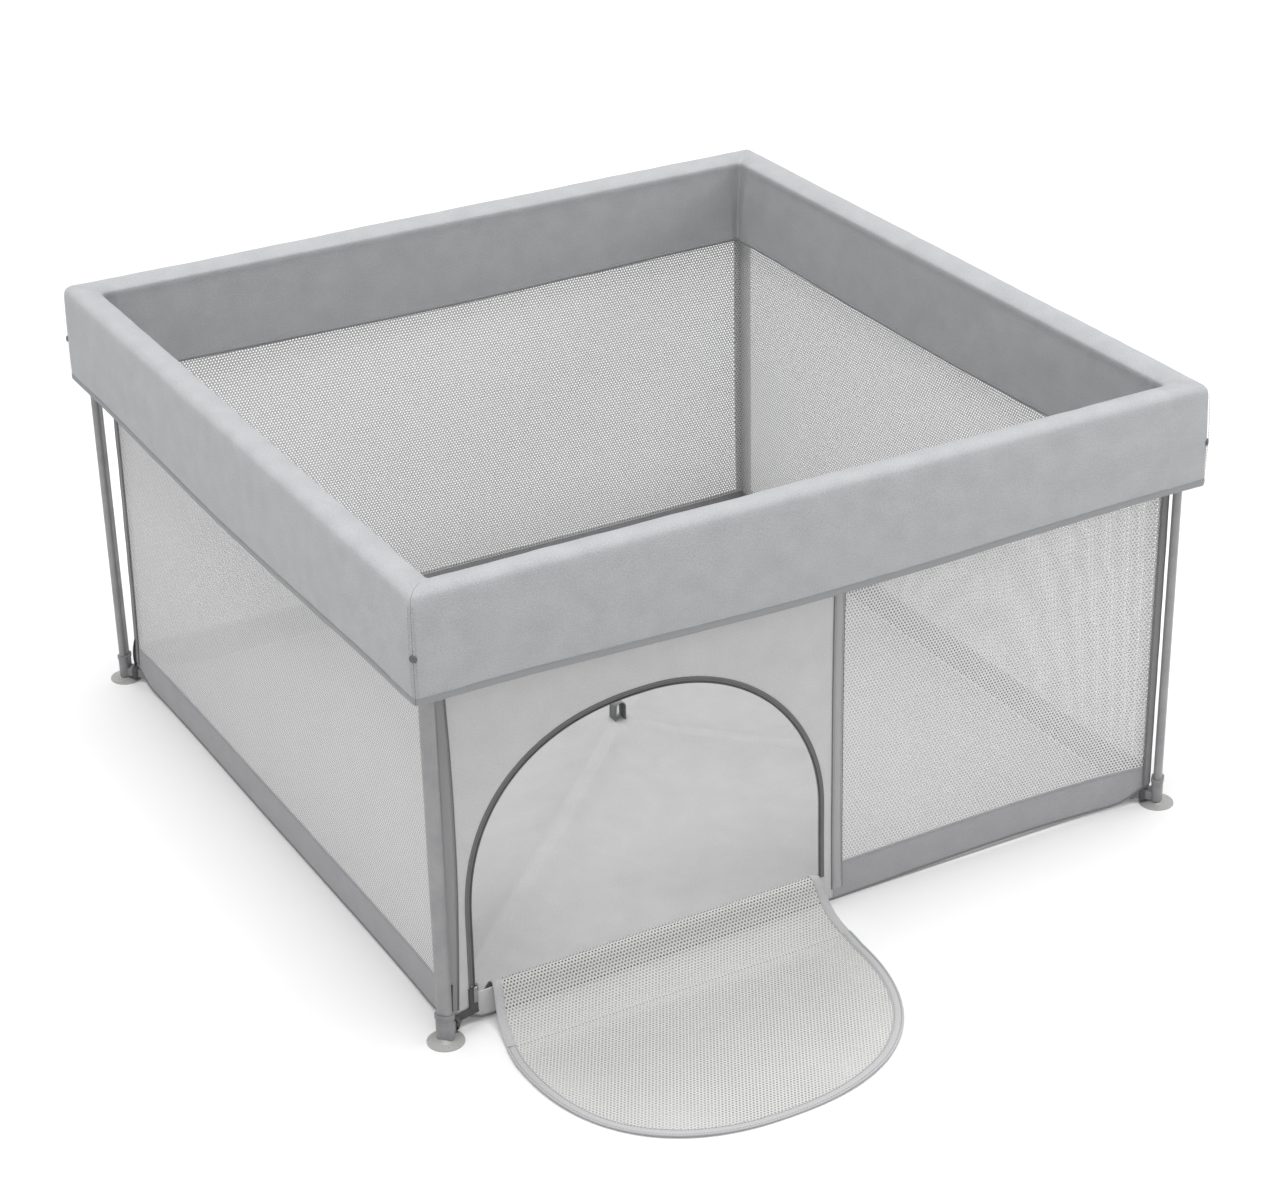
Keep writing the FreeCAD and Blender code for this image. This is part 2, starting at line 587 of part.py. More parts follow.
def zip_pull():
    """A flat tab that hangs from the slider's pin."""
    x = DOOR_X - OPENING_R - ZIP_WIDTH / 2
    pin_y, pin_z = pull_pivot()
    half = PULL_THICKNESS / 2
    shoulder_z = pin_z - PULL_SHOULDER
    tab = box((x - PULL_WIDTH / 2, x + PULL_WIDTH / 2), (pin_y - half, pin_y + half),
              (pin_z - PULL_LENGTH, shoulder_z))
    x_eye = (x - PULL_EYE_HALF, x + PULL_EYE_HALF)
    neck = box(x_eye, (pin_y - half, pin_y + half), (shoulder_z, pin_z))
    eye = rod(PULL_EYE_R, (x_eye[0], pin_y, pin_z), (x_eye[1], pin_y, pin_z))
    hole = rod(PULL_HOLE_R, (x - PULL_WIDTH / 2, pin_y, pin_z), (x + PULL_WIDTH / 2, pin_y, pin_z))
    return tab.multiFuse([neck, eye]).cut(hole)


def door_flap():
    """The flap unzipped and turned down, lying on the floor in front of its opening."""
    z = (FLAP_BOTTOM_Z, FLAP_BOTTOM_Z + FLAP_THICKNESS)
    near = DOOR_AXIS_Y + DOOR_AXIS_Z - DOOR_SILL_Z - FLAP_NEAR_GAP
    spring = DOOR_AXIS_Y + DOOR_AXIS_Z - DOOR_SPRING_Z
    x = (DOOR_X - FLAP_R, DOOR_X + FLAP_R)
    disc = rod(FLAP_R, (DOOR_X, spring, z[0]), (DOOR_X, spring, z[1]))
    arch = disc.common(box(x, (spring - FLAP_R, spring), z))
    return box(x, (spring, near), z).fuse(arch).removeSplitter()


def laid_form(lift):
    """What the floor's fabric lies on along one arm and over the hub, raised by the given amount."""
    foot_z = FLOOR_BOTTOM_Z + lift
    top_z = RIDGE_TOP_Z + lift
    outline = [(-RIDGE_FOOT_HALF, foot_z), (RIDGE_FOOT_HALF, foot_z), (RIDGE_TOP_HALF, top_z),
               (-RIDGE_TOP_HALF, top_z)]
    points = [FreeCAD.Vector(0, y, z) for y, z in outline]
    face = Part.Face(Part.makePolygon(points + points[:1]))
    ridge = face.extrude(FreeCAD.Vector(2 * FLOOR_EDGE, 0, 0))
    peak_height = PEAK_TOP_Z - FLOOR_BOTTOM_Z
    peak = Part.makeCone(PEAK_FOOT_R, PEAK_TOP_R, peak_height, FreeCAD.Vector(0, 0, foot_z))
    return ridge.fuse(peak)


def floor_quadrant():
    """A quarter of the floor's fabric, which lies over one arm, with a slit for the lift loop."""
    top_z = FLOOR_BOTTOM_Z + FLOOR_THICKNESS
    reach = 2 * FLOOR_EDGE
    slab = box((-reach, reach), (-reach, reach), (FLOOR_BOTTOM_Z, top_z))
    sheet = slab.fuse(laid_form(FLOOR_THICKNESS)).cut(laid_form(0))
    quadrant = box((-FLOOR_EDGE, -FLOOR_SPLIT), (-FLOOR_EDGE, -FLOOR_SPLIT), (0, LOOP_TOP_Z))
    slit_x = LOOP_LEG_X + LOOP_THICKNESS + SLIT_CLEAR
    slit_y = LOOP_WIDTH / 2 + SLIT_CLEAR
    quadrant = quadrant.cut(box((-slit_x, slit_x), (-slit_y, slit_y), (0, LOOP_TOP_Z)))
    return sheet.common(turned(quadrant, -225))


# The whole pen


def build_corner(corner):
    name = CORNERS[corner]
    save(f"post_tube_{name}", [at_corner(post_tube(), corner)])
    save(f"suction_foot_{name}", [at_corner(suction_foot(), corner)])
    save(f"foot_bracket_{name}", [at_corner(solid, corner) for solid in foot_bracket()])
    save(f"corner_bracket_{name}", [at_corner(solid, corner) for solid in corner_bracket()])
    save(f"cover_corner_{name}", [turned(cover_corner(), 90 * corner)])
    save(f"arm_{name}", [on_arm(solid, corner) for solid in arm()])
    save(f"floor_{name}", [on_arm(floor_quadrant(), corner)])


def build_side(side):
    name = SIDES[side]
    with_button, other = HALF_RAILS[side]
    button_rail = half_rail(latch_with_cheeks())
    tongue_rail = [mirrored(solid) for solid in half_rail([latch_with_tongue()])]
    save(f"rail_{name}_{with_button}", [on_side(solid, side) for solid in button_rail])
    save(f"rail_{name}_{other}", [on_side(solid, side) for solid in tongue_rail])
    save(f"cover_{name}_{with_button}", [turned(cover_half(), 90 * side)])
    save(f"cover_{name}_{other}", [turned(mirrored(cover_half()), 90 * side)])
    save(f"latch_button_{name}", [on_side(latch_button(), side)])


def build_walls():
    door = arch_in_wall(OPENING_R, -WALL_OUTSIDE, -WALL_INSIDE)
    front_left = wall(FRONT_SEAM_X - WALL_SPLIT, -WALL_SPLIT).cut(door)
    save("wall_front_left", [front_left])
    save("wall_front_right", [turned(wall(-WALL_SPLIT, -FRONT_SEAM_X - WALL_SPLIT), 90)])
    save("wall_back_right", [turned(wall(-WALL_SPLIT, -WALL_SPLIT), 180)])
    save("wall_back_left", [turned(wall(-WALL_SPLIT, -WALL_SPLIT), 270)])


os.makedirs("parts", exist_ok=True)
for index in range(len(CORNERS)):
    build_corner(index)
    build_side(index)
build_walls()
save("hub_body", [hub_body()])
save("hub_pins", hub_pins())
save("lift_loop", [lift_loop()])
save("door_flap", [door_flap()])
save("zip_track", [zip_track()])
save("zip_slider", [zip_slider()])
save("zip_pull", [zip_pull()])
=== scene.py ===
"""Looks of a square folding playpen with a mesh door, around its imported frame. Lengths are metres.

The pen's four sides are alike, so most pieces are built for the front side, with X along it and
-Y outwards, and then turned about the pen's upright middle axis.
"""

import math

import bmesh
import bpy
from mathutils import Matrix, Vector, noise


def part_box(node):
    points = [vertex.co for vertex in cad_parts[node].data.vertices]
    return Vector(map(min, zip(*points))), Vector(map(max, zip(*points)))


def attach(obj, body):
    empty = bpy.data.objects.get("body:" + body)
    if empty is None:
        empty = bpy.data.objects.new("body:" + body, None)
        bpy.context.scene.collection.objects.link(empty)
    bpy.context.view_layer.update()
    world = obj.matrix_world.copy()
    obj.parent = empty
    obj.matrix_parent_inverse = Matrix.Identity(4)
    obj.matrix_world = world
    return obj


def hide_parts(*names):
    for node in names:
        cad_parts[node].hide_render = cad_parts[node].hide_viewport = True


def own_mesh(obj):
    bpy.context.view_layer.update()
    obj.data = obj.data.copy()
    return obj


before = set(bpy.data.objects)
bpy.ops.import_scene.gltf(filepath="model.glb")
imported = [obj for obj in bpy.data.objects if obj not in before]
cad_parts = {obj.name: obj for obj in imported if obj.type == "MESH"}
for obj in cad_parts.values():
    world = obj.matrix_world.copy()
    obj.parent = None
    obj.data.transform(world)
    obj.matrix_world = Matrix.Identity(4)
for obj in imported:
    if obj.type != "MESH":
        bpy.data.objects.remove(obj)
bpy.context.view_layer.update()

CORNERS = ["front_left", "front_right", "back_right", "back_left"]
SIDES = ["front", "right", "back", "left"]
HALF_RAILS = [("left", "right"), ("front", "back"), ("right", "left"), ("back", "front")]

# Places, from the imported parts
corner_low, corner_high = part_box("cover_corner_front_left")
COVER_OUT = -corner_low.x
COVER_END = -corner_high.x
COVER_TOP = corner_high.z
COVER_LOW = corner_low.z
COVER_IN = -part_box("cover_front_left")[1].y
post_low, post_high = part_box("post_tube_front_left")
POST_AT = -(post_low.x + post_high.x) / 2
wall_low, wall_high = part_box("wall_front_left")
WALL_AT = -wall_low.x
WALL_LOW = wall_low.z
WALL_HIGH = wall_high.z
SEAM_X = wall_high.x
FLOOR_EDGE = -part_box("floor_front_left")[0].x
FLOOR_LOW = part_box("floor_front_left")[0].z
flap_low, flap_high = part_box("door_flap")
DOOR_X = (flap_low.x + flap_high.x) / 2
FLAP_R = (flap_high.x - flap_low.x) / 2
zip_low, zip_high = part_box("zip_track")
FLAP_CREST = -WALL_AT
FLAP_TIP = flap_low.y - 0.006
FLAP_SPRING = flap_low.y + FLAP_R
FLAP_WAIST = 0.045  # the flap is this much narrower at the sill
FLAP_BLUNT = 2.35  # 2 would be a half circle
FLAP_DRIFT = 0.009
SILL_Z = zip_low.z
ZIP_R = (zip_high.x - zip_low.x) / 2
SPRING_Z = zip_high.z - ZIP_R
PANEL_R = ZIP_R - 0.008  # the smooth panel ends under the zip
ARCH_DROP = 0.013  # the arch's cloth sags this much at its top
ARCH_BLUNT = 2.3  # how full the arch's left shoulder is: 2 would be a quarter circle
ARCH_PULL = 0.006  # the right leg stands this much inwards
loop_low, loop_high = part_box("lift_loop")
HUB_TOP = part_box("hub_body")[1].z
ARM_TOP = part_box("arm_front_left")[1].z

# Fabric
SKIN = 0.0045  # the padded cover's foam and fabric
CLOTH = 0.0012
MESH = 0.0004
FLOOR_CLOTH = 0.0018
BASE_TOP = 0.060
# The band's top: it rolls over the rail close to the outer panel and slopes down inwards. Each
# point is how far it lies inside the outer panel and below the top.
TOP_SECTION = [(0.0, 0.016), (0.0022, 0.0065), (0.0090, 0.0010), (0.0190, 0.0),
               (0.0300, 0.0020), (0.0420, 0.0060), (0.0458, 0.0100), (0.0468, 0.0200)]
OUTER_BULGE = 0.0022  # the padding swells this much in the middle of each panel
INNER_BULGE = 0.0016
CORNER_R_OUT = 0.008
CORNER_R_IN = 0.004
SEAM_GROOVE = 0.0014  # depth of the cover's seam at its corners
BINDING = 0.010
BINDING_IN = 0.005
HANG = 0.010  # the cover's lower edge drops this much by the middle of a side
INNER_LIFT = 0.013  # the cover's inner panel ends this much above the outer one
CLOSE_CORNER = 0.011  # the front right corner of the walls stands out this far
HEM_LIFT = 0.006  # the front wall's hem rises this much between the door and the right foot
FOOT_LEAN = 0.0055  # the walls' corners are pulled out this far at the feet
TAPE_WIDE = 0.011
SEAM_TAPE = 0.016
BAND_STITCHES = 0.0015  # the covers' stitches run this much below their binding's upper edge
STUD_Z = 0.575  # height of the press stud on each corner of the cover
STUD = [(0.0, -0.003), (0.0046, -0.003), (0.0052, 0.0), (0.0052, 0.0012), (0.0044, 0.0022),
        (0.0026, 0.0028), (0.0, 0.0030)]
UP = Vector((0, 0, 1))
OUT = Vector((0, -1, 0))  # outwards from the front side


# Basic mesh work


def spread(start, end, count):
    """Count + 1 evenly spaced values from start to end."""
    return [start + (end - start) * i / count for i in range(count + 1)]


def run_along(points):
    """Length along a line up to each of its points."""
    runs = [0.0]
    for a, b in zip(points, points[1:]):
        runs.append(runs[-1] + math.dist(a, b))
    return runs


def link(name, mesh):
    piece = bpy.data.objects.new(name, mesh)
    bpy.context.scene.collection.objects.link(piece)
    return piece


def built(name, bm, recalculate=True):
    """The finished mesh as a new piece."""
    if recalculate:
        bmesh.ops.recalc_face_normals(bm, faces=bm.faces)
    mesh = bpy.data.meshes.new(name)
    bm.to_mesh(mesh)
    bm.free()
    return link(name, mesh)


def grid(name, us, vs, point, cloth, outward, thickness, offset=0.0):
    """A solid sheet through point(u, v). Its UV map holds the cloth's own coordinates in metres."""
    bm = bmesh.new()
    verts = [[bm.verts.new(point(u, v)) for v in vs] for u in us]
    layer = bm.loops.layers.uv.new("cloth")
    for i in range(len(us) - 1):
        for j in range(len(vs) - 1):
            ring = [(i, j), (i + 1, j), (i + 1, j + 1), (i, j + 1)]
            face = bm.faces.new([verts[a][b] for a, b in ring])
            for loop, (a, b) in zip(face.loops, ring):
                loop[layer].uv = cloth(us[a], vs[b])
    bmesh.ops.remove_doubles(bm, verts=bm.verts, dist=1e-6)
    bmesh.ops.delete(bm, geom=[v for v in bm.verts if not v.link_faces], context="VERTS")
    piece = built(name, bm, recalculate=False)
    flip_out(piece, outward)
    thicken(piece, thickness, offset)
    return piece


def skin(name, rings, runs, girth, closed=False):
    """A tube through rings of points. Runs and girth are its cloth's lengths along and around."""
    bm = bmesh.new()
    layer = bm.loops.layers.uv.new("cloth")
    verts = [[bm.verts.new(point) for point in ring] for ring in rings]
    for i in range(len(rings) if closed else len(rings) - 1):
        here, there = verts[i], verts[(i + 1) % len(rings)]
        for k in range(len(here)):
            m = (k + 1) % len(here)
            face = bm.faces.new([here[k], here[m], there[m], there[k]])
            uvs = [(runs[i], girth[k]), (runs[i], girth[k + 1]),
                   (runs[i + 1], girth[k + 1]), (runs[i + 1], girth[k])]
            for loop, uv in zip(face.loops, uvs):
                loop[layer].uv = uv
    if not closed:
        bm.faces.new(verts[0][::-1])
        bm.faces.new(verts[-1])
    return built(name, bm)


def sweep(name, path, outwards, profile, closed=False):
    """A profile of (across, out) points carried along a path of points with their outward normals."""
    count = len(path)
    rings = []
    for i, (here, out) in enumerate(zip(path, outwards)):
        before = path[(i - 1) % count] if closed or i else here
        after = path[(i + 1) % count] if closed or i < count - 1 else here
        along = (Vector(after) - Vector(before)).normalized()
        normal = (Vector(out) - along * Vector(out).dot(along)).normalized()
        across = along.cross(normal)
        rings.append([Vector(here) + across * a + normal * o for a, o in profile])
    return skin(name, rings, run_along([*path, path[0]]), run_along([*profile, profile[0]]), closed)


STITCH_ENDS = [(-0.5, 0.35), (-0.3, 1.0), (0.3, 1.0), (0.5, 0.35)]  # (share of its length, how thick)


def stitches(name, rows, pitch=0.0042, length=0.0030, thick=0.0006):
    """Rows of thread stitches: each row is a path of points with their outward normals."""
    bm = bmesh.new()
    for path, outwards in rows:
        done = 0.0
        due = pitch / 2
        for a, b, out in zip(path, path[1:], outwards):
            step = (b - a).length
            while step > 1e-9 and due <= done + step:
                along = (b - a) / step
                normal = (Vector(out) - along * Vector(out).dot(along)).normalized()
                across = along.cross(normal)
                middle = a + along * (due - done)
                ends = []
                for t, grow in STITCH_ENDS:
                    at = middle + along * (t * length)
                    sink = normal * (thick * (0.2 if grow == 1.0 else -0.2))
                    ends.append([bm.verts.new(at + sink + (across * x + normal * y) * thick * grow / 2)
                                 for x, y in ((1, 0), (0, 1), (-1, 0), (0, -1))])
                for first, second in zip(ends, ends[1:]):
                    for k in range(4):
                        m = (k + 1) % 4
                        bm.faces.new([first[k], first[m], second[m], second[k]])
                bm.faces.new(ends[0][::-1])
                bm.faces.new(ends[-1])
                due += pitch
            done += step
    return built(name, bm)


def lathe(name, profile, centre, axis, steps=24):
    """A closed round form from (radius, height) points, set at a centre along an axis."""
    turn = Vector((0, 0, 1)).rotation_difference(Vector(axis)).to_matrix()
    bm = bmesh.new()
    rings = []
    for radius, height in profile:
        if radius == 0:
            rings.append([bm.verts.new(Vector(centre) + turn @ Vector((0, 0, height)))])
            continue
        angles = [2 * math.pi * k / steps for k in range(steps)]
        rings.append([bm.verts.new(Vector(centre) + turn @ Vector(
            (radius * math.cos(a), radius * math.sin(a), height))) for a in angles])
    for first, second in zip(rings, rings[1:]):
        for k in range(steps):
            m = (k + 1) % steps
            quad = [first[k % len(first)], first[m % len(first)], second[m % len(second)],
                    second[k % len(second)]]
            bm.faces.new(list(dict.fromkeys(quad)))
    return built(name, bm)


def thicken(piece, thickness, offset=0.0):
    """A closed sheet of that thickness. Offset -1 keeps the outer face in place."""
    solid = piece.modifiers.new("thickness", "SOLIDIFY")
    solid.thickness = thickness
    solid.offset = offset
    solid.use_even_offset = True
    graph = bpy.context.evaluated_depsgraph_get()
    mesh = bpy.data.meshes.new_from_object(piece.evaluated_get(graph))
    piece.modifiers.clear()
    piece.data = mesh


def soften(piece, angle=50):
    """Smooth shading, but for edges sharper than the angle."""
    piece.data.shade_smooth()
    piece.data.set_sharp_from_angle(angle=math.radians(angle))


def flip_out(piece, outward):
    """Turns the faces so that they look along the outward direction on the whole."""
    total = sum(Vector(f.normal).dot(outward) * f.area for f in piece.data.polygons)
    if total < 0:
        piece.data.flip_normals()


def turned(vector, side):
    return Matrix.Rotation(math.radians(90 * side), 3, "Z") @ Vector(vector)


def dress(piece, material, body, side=0):
    """Turns a piece to its side of the pen, and gives it its material and its body."""
    piece.data.transform(Matrix.Rotation(math.radians(90 * side), 4, "Z"))
    soften(piece)
    piece.data.materials.clear()
    piece.data.materials.append(material)
    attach(piece, body)
    return piece


def gather_wall(piece):
    """Gives a side's wall, or a piece sewn on it, its own copy of its mesh."""
    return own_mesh(piece)


def ripple(place, size, seed=0.0):
    """Smooth noise from -1 to 1 with features of about that size."""
    return noise.noise(Vector(place) / size + Vector((seed, seed * 1.7, seed * 0.6)))


# Materials


def linear(level):
    """A screen grey or colour level from 0 to 255, as scene-linear light."""
    share = level / 255
    return share / 12.92 if share <= 0.04045 else ((share + 0.055) / 1.055) ** 2.4


def colour(*levels):
    red, green, blue = levels if len(levels) == 3 else levels * 3
    return (linear(red), linear(green), linear(blue), 1.0)


class Nodes:
    """Short ways to add shader nodes to one new material."""

    def __init__(self, name):
        self.material = bpy.data.materials.new(name)
        self.material.use_nodes = True
        self.tree = self.material.node_tree
        self.tree.nodes.clear()
        self.output = self.tree.nodes.new("ShaderNodeOutputMaterial")
        self.shader = self.tree.nodes.new("ShaderNodeBsdfPrincipled")
        self.join(self.shader.outputs["BSDF"], self.output.inputs["Surface"])

    def add(self, kind, **settings):
        node = self.tree.nodes.new("ShaderNode" + kind)
        for key, value in settings.items():
            setattr(node, key, value)
        return node

    def join(self, source, target):
        self.tree.links.new(source, target)

    def put(self, value, socket):
        if hasattr(value, "is_output"):
            self.join(value, socket)
        else:
            socket.default_value = value

    def maths(self, operation, *values):
        node = self.add("Math", operation=operation)
        for value, socket in zip(values, node.inputs):
            self.put(value, socket)
        return node.outputs[0]

    def sum_of(self, *terms):
        """The sum of two values, each times its own number."""
        return self.maths("ADD", *[self.maths("MULTIPLY", value, number) for value, number in terms])

    def vector(self, operation, *values, result=0):
        node = self.add("VectorMath", operation=operation)
        for value, socket in zip(values, node.inputs):
            self.put(value, socket)
        return node.outputs[result]

    def object_place(self):
        """A place on a hard part, in the part's own coordinates."""
        return self.add("TexCoord").outputs["Object"]

    def cloth_place(self):
        """A place on a cloth, measured along and across it."""
        return self.add("UVMap", uv_map="cloth").outputs["UV"]

    def noise(self, place, scale, detail=2.0, roughness=0.5):
        node = self.add("TexNoise")
        node.inputs["Scale"].default_value = scale
        node.inputs["Detail"].default_value = detail
        node.inputs["Roughness"].default_value = roughness
        self.join(place, node.inputs["Vector"])
        return node.outputs["Fac"]

    def ranged(self, value, low, high, to_low, to_high):
        node = self.add("MapRange")
        for number, socket in zip((value, low, high, to_low, to_high), node.inputs):
            self.put(number, socket)
        return node.outputs[0]

    def mixed(self, share, first, second):
        node = self.add("Mix", data_type="RGBA")
        self.put(share, node.inputs["Factor"])
        self.put(first, node.inputs["A"])
        self.put(second, node.inputs["B"])
        return node.outputs["Result"]

    def bump(self, height, strength, distance):
        node = self.add("Bump")
        node.inputs["Strength"].default_value = strength
        node.inputs["Distance"].default_value = distance
        self.join(height, node.inputs["Height"])
        self.join(node.outputs["Normal"], self.shader.inputs["Normal"])

    def shade(self, name, value):
        self.put(value, self.shader.inputs[name])


def weave_height(nodes, place, thread):
    """Height of a plain weave: warp and weft threads that pass over and under each other."""
    scale = nodes.add("Mapping")
    for axis in range(3):
        scale.inputs["Scale"].default_value[axis] = math.pi / thread
    nodes.join(place, scale.inputs["Vector"])
    parts = nodes.add("SeparateXYZ")
    nodes.join(scale.outputs["Vector"], parts.inputs[0])
    across = nodes.maths("SINE", parts.outputs["X"])
    along = nodes.maths("SINE", parts.outputs["Y"])
    return nodes.maths("MULTIPLY", across, along)


def woven(name, base, dark, thread, melange):
    """Closely woven cloth with a slight melange of light and dark yarns."""
    nodes = Nodes(name)
    place = nodes.cloth_place()
    yarn = nodes.noise(place, 480.0, 3.0, 0.7)
    patch = nodes.noise(place, 24.0, 3.0, 0.55)
    fleck = nodes.ranged(yarn, 0.35, 0.65, 0.0, 1.0)
    cloud = nodes.ranged(patch, 0.3, 0.7, 0.0, 1.0)
    height = weave_height(nodes, place, thread)
    share = nodes.sum_of((fleck, melange * 0.7), (cloud, melange * 0.3))
    nodes.shade("Base Color", nodes.mixed(share, base, dark))
    nodes.shade("Roughness", nodes.ranged(yarn, 0.2, 0.8, 0.82, 0.94))
    nodes.shade("Sheen Weight", 0.15)
    nodes.shade("Sheen Roughness", 0.5)
    nodes.shade("Specular IOR Level", 0.25)
    relief = nodes.maths("ADD", height, nodes.maths("MULTIPLY", yarn, 1.2))
    nodes.bump(relief, 0.6, 0.00035)
    return nodes.material


def ribbed(name, base, dark, rib=0.0016):
    """Narrow woven tape with ribs over its width."""
    nodes = Nodes(name)
    place = nodes.cloth_place()
    parts = nodes.add("SeparateXYZ")
    nodes.join(place, parts.inputs[0])
    ribs = nodes.maths("SINE", nodes.maths("MULTIPLY", parts.outputs["X"], 2 * math.pi / rib))
    yarn = nodes.noise(place, 1100.0, 2.0, 0.6)
    share = nodes.sum_of((yarn, 0.6), (ribs, 0.25))
    nodes.shade("Base Color", nodes.mixed(share, base, dark))
    nodes.shade("Roughness", nodes.ranged(yarn, 0.2, 0.8, 0.75, 0.88))
    nodes.shade("Sheen Weight", 0.1)
    nodes.shade("Specular IOR Level", 0.3)
    nodes.bump(nodes.maths("ADD", ribs, yarn), 0.6, 0.0004)
    return nodes.material


def netting(name, base, dark, pitch=0.005, hole=0.00145, wander=0.0):
    """Knitted mesh with round holes in staggered, slightly wavy rows. Light and sight pass them."""
    nodes = Nodes(name)
    flat_place = nodes.cloth_place()
    warp = nodes.add("TexNoise")
    warp.inputs["Scale"].default_value = 30.0
    warp.inputs["Detail"].default_value = 1.0
    nodes.join(flat_place, warp.inputs["Vector"])
    shift = nodes.vector("MULTIPLY", warp.outputs["Color"], (wander, wander, 0.0))
    place = nodes.vector("ADD", flat_place, shift)
    high = pitch * math.sqrt(3)
    half = (pitch / 2, high / 2, 1.0)
    less = (-pitch / 2, -high / 2, -1.0)
    first = nodes.vector("WRAP", place, half, less)
    second = nodes.vector("WRAP", nodes.vector("ADD", place, (pitch / 2, high / 2, 0.0)), half, less)
    near = nodes.maths("MINIMUM", nodes.vector("LENGTH", first, result=1),
                       nodes.vector("LENGTH", second, result=1))
    opened = nodes.ranged(near, hole * 0.5, hole * 1.5, 1.0, 0.0)
    yarn = nodes.noise(place, 1300.0, 2.0, 0.6)
    cloud = nodes.noise(place, 18.0, 3.0, 0.5)
    rim = nodes.ranged(near, hole, hole * 1.5, 1.0, 0.0)
    share = nodes.maths("ADD", nodes.maths("MULTIPLY", rim, 0.35),
                        nodes.sum_of((yarn, 0.3), (cloud, 0.25)))
    nodes.shade("Base Color", nodes.mixed(share, base, dark))
    nodes.shade("Roughness", nodes.ranged(yarn, 0.2, 0.8, 0.75, 0.9))
    nodes.shade("Sheen Weight", 0.1)
    nodes.shade("Specular IOR Level", 0.25)
    strand = nodes.ranged(near, hole, pitch * 0.55, 0.0, 1.0)
    nodes.bump(nodes.maths("ADD", strand, nodes.maths("MULTIPLY", yarn, 0.4)), 0.5, 0.0004)
    clear = nodes.add("BsdfTransparent")
    mix = nodes.add("MixShader")
    nodes.join(opened, mix.inputs[0])
    nodes.join(nodes.shader.outputs["BSDF"], mix.inputs[1])
    nodes.join(clear.outputs["BSDF"], mix.inputs[2])
    nodes.join(mix.outputs[0], nodes.output.inputs["Surface"])
    return nodes.material


def moulded(name, base, dark, rough=0.45, grain=1400.0):
    """Moulded plastic with a fine spark-eroded grain and slight wear."""
    nodes = Nodes(name)
    place = nodes.object_place()
    fine = nodes.noise(place, grain, 2.0, 0.5)
    worn = nodes.noise(place, 60.0, 3.0, 0.6)
    nodes.shade("Base Color", nodes.mixed(nodes.ranged(worn, 0.35, 0.7, 0.0, 1.0), base, dark))
    nodes.shade("Roughness", nodes.ranged(worn, 0.3, 0.7, rough - 0.06, rough + 0.08))
    nodes.bump(fine, 0.35, 0.00012)
    return nodes.material


def painted(name, base, dark):
    """Powder-coated steel tube: a satin coat with a fine orange peel."""
    nodes = Nodes(name)
    place = nodes.object_place()
    peel = nodes.noise(place, 700.0, 2.0, 0.4)
    worn = nodes.noise(place, 30.0, 3.0, 0.6)
    nodes.shade("Base Color", nodes.mixed(nodes.ranged(worn, 0.35, 0.7, 0.0, 1.0), base, dark))
    nodes.shade("Roughness", nodes.ranged(worn, 0.3, 0.7, 0.37, 0.50))
    nodes.shade("Metallic", 0.25)
    nodes.bump(peel, 0.25, 0.0001)
    return nodes.material


def steel(name, base, dark):
    """Brushed steel of the pins and the zip's slider."""
    nodes = Nodes(name)
    place = nodes.object_place()
    brushed = nodes.noise(place, 500.0, 3.0, 0.6)
    nodes.shade("Base Color", nodes.mixed(brushed, base, dark))
    nodes.shade("Roughness", nodes.ranged(brushed, 0.3, 0.7, 0.22, 0.42))
    nodes.shade("Metallic", 1.0)
    nodes.bump(brushed, 0.2, 0.00008)
    return nodes.material


def soft_rubber(name, base, dark):
    """Milky, soft plastic of the suction cups."""
    nodes = Nodes(name)
    place = nodes.object_place()
    cloud = nodes.noise(place, 90.0, 3.0, 0.5)
    nodes.shade("Base Color", nodes.mixed(cloud, base, dark))
    nodes.shade("Roughness", nodes.ranged(cloud, 0.3, 0.7, 0.25, 0.38))
    nodes.shade("Transmission Weight", 0.35)
    nodes.shade("IOR", 1.4)
    nodes.bump(cloud, 0.1, 0.0003)
    return nodes.material


COVER_CLOTH = woven("cover_cloth", colour(184, 185, 187), colour(154, 155, 158), thread=0.0013, melange=0.9)
# The door panel's cloth: its own light grey, made lighter still as painted light that stands for the light
# shining through the thin cloth.
PANEL_CLOTH = woven("panel_cloth", colour(212), colour(190), thread=0.0009, melange=0.8)
BASE_CLOTH = woven("base_cloth", colour(170, 170, 172), colour(144, 144, 147), thread=0.0012, melange=0.8)
FLOOR_WEAVE = woven("floor_cloth", colour(178), colour(156), thread=0.0012, melange=0.8)
WALL_NET = netting("wall_net", colour(224), colour(204), wander=0.003)
# The flap's net: its own warm grey, darkened as painted shade for the flap and drape lying low in the
# sill's shade.
FLAP_NET_SHADED = netting("flap_net", colour(195, 195, 193), colour(172, 172, 170), hole=0.00135)
BINDING_TAPE = ribbed("binding_tape", colour(156, 157, 159), colour(140, 141, 143))
FLAP_BINDING = ribbed("flap_binding", colour(182, 182, 183), colour(164, 164, 166))
MIDDLE_TAPE = ribbed("middle_tape", colour(178, 178, 179), colour(164, 164, 166))
CORNER_TAPE = ribbed("corner_tape", colour(160, 160, 161), colour(146, 146, 148))
EDGE_CORD = ribbed("edge_cord", colour(132, 132, 134), colour(116, 116, 118), rib=0.0012)
LOOP_WEBBING = ribbed("loop_webbing", colour(138, 139, 140), colour(112, 113, 114), rib=0.0014)
DARK_TAPE = ribbed("dark_tape", colour(92, 92, 93), colour(70, 70, 72))
ZIP_TAPE = ribbed("zip_tape", colour(132, 132, 134), colour(112, 112, 114), rib=0.0011)
ZIP_TEETH = moulded("zip_teeth", colour(102, 102, 104), colour(86, 86, 88), rough=0.35)
THREAD = moulded("sewing_thread", colour(150, 151, 153), colour(132, 133, 136), rough=0.7, grain=3000.0)
DARK_THREAD = moulded("dark_thread", colour(112, 113, 115), colour(96, 97, 99), rough=0.7, grain=3000.0)
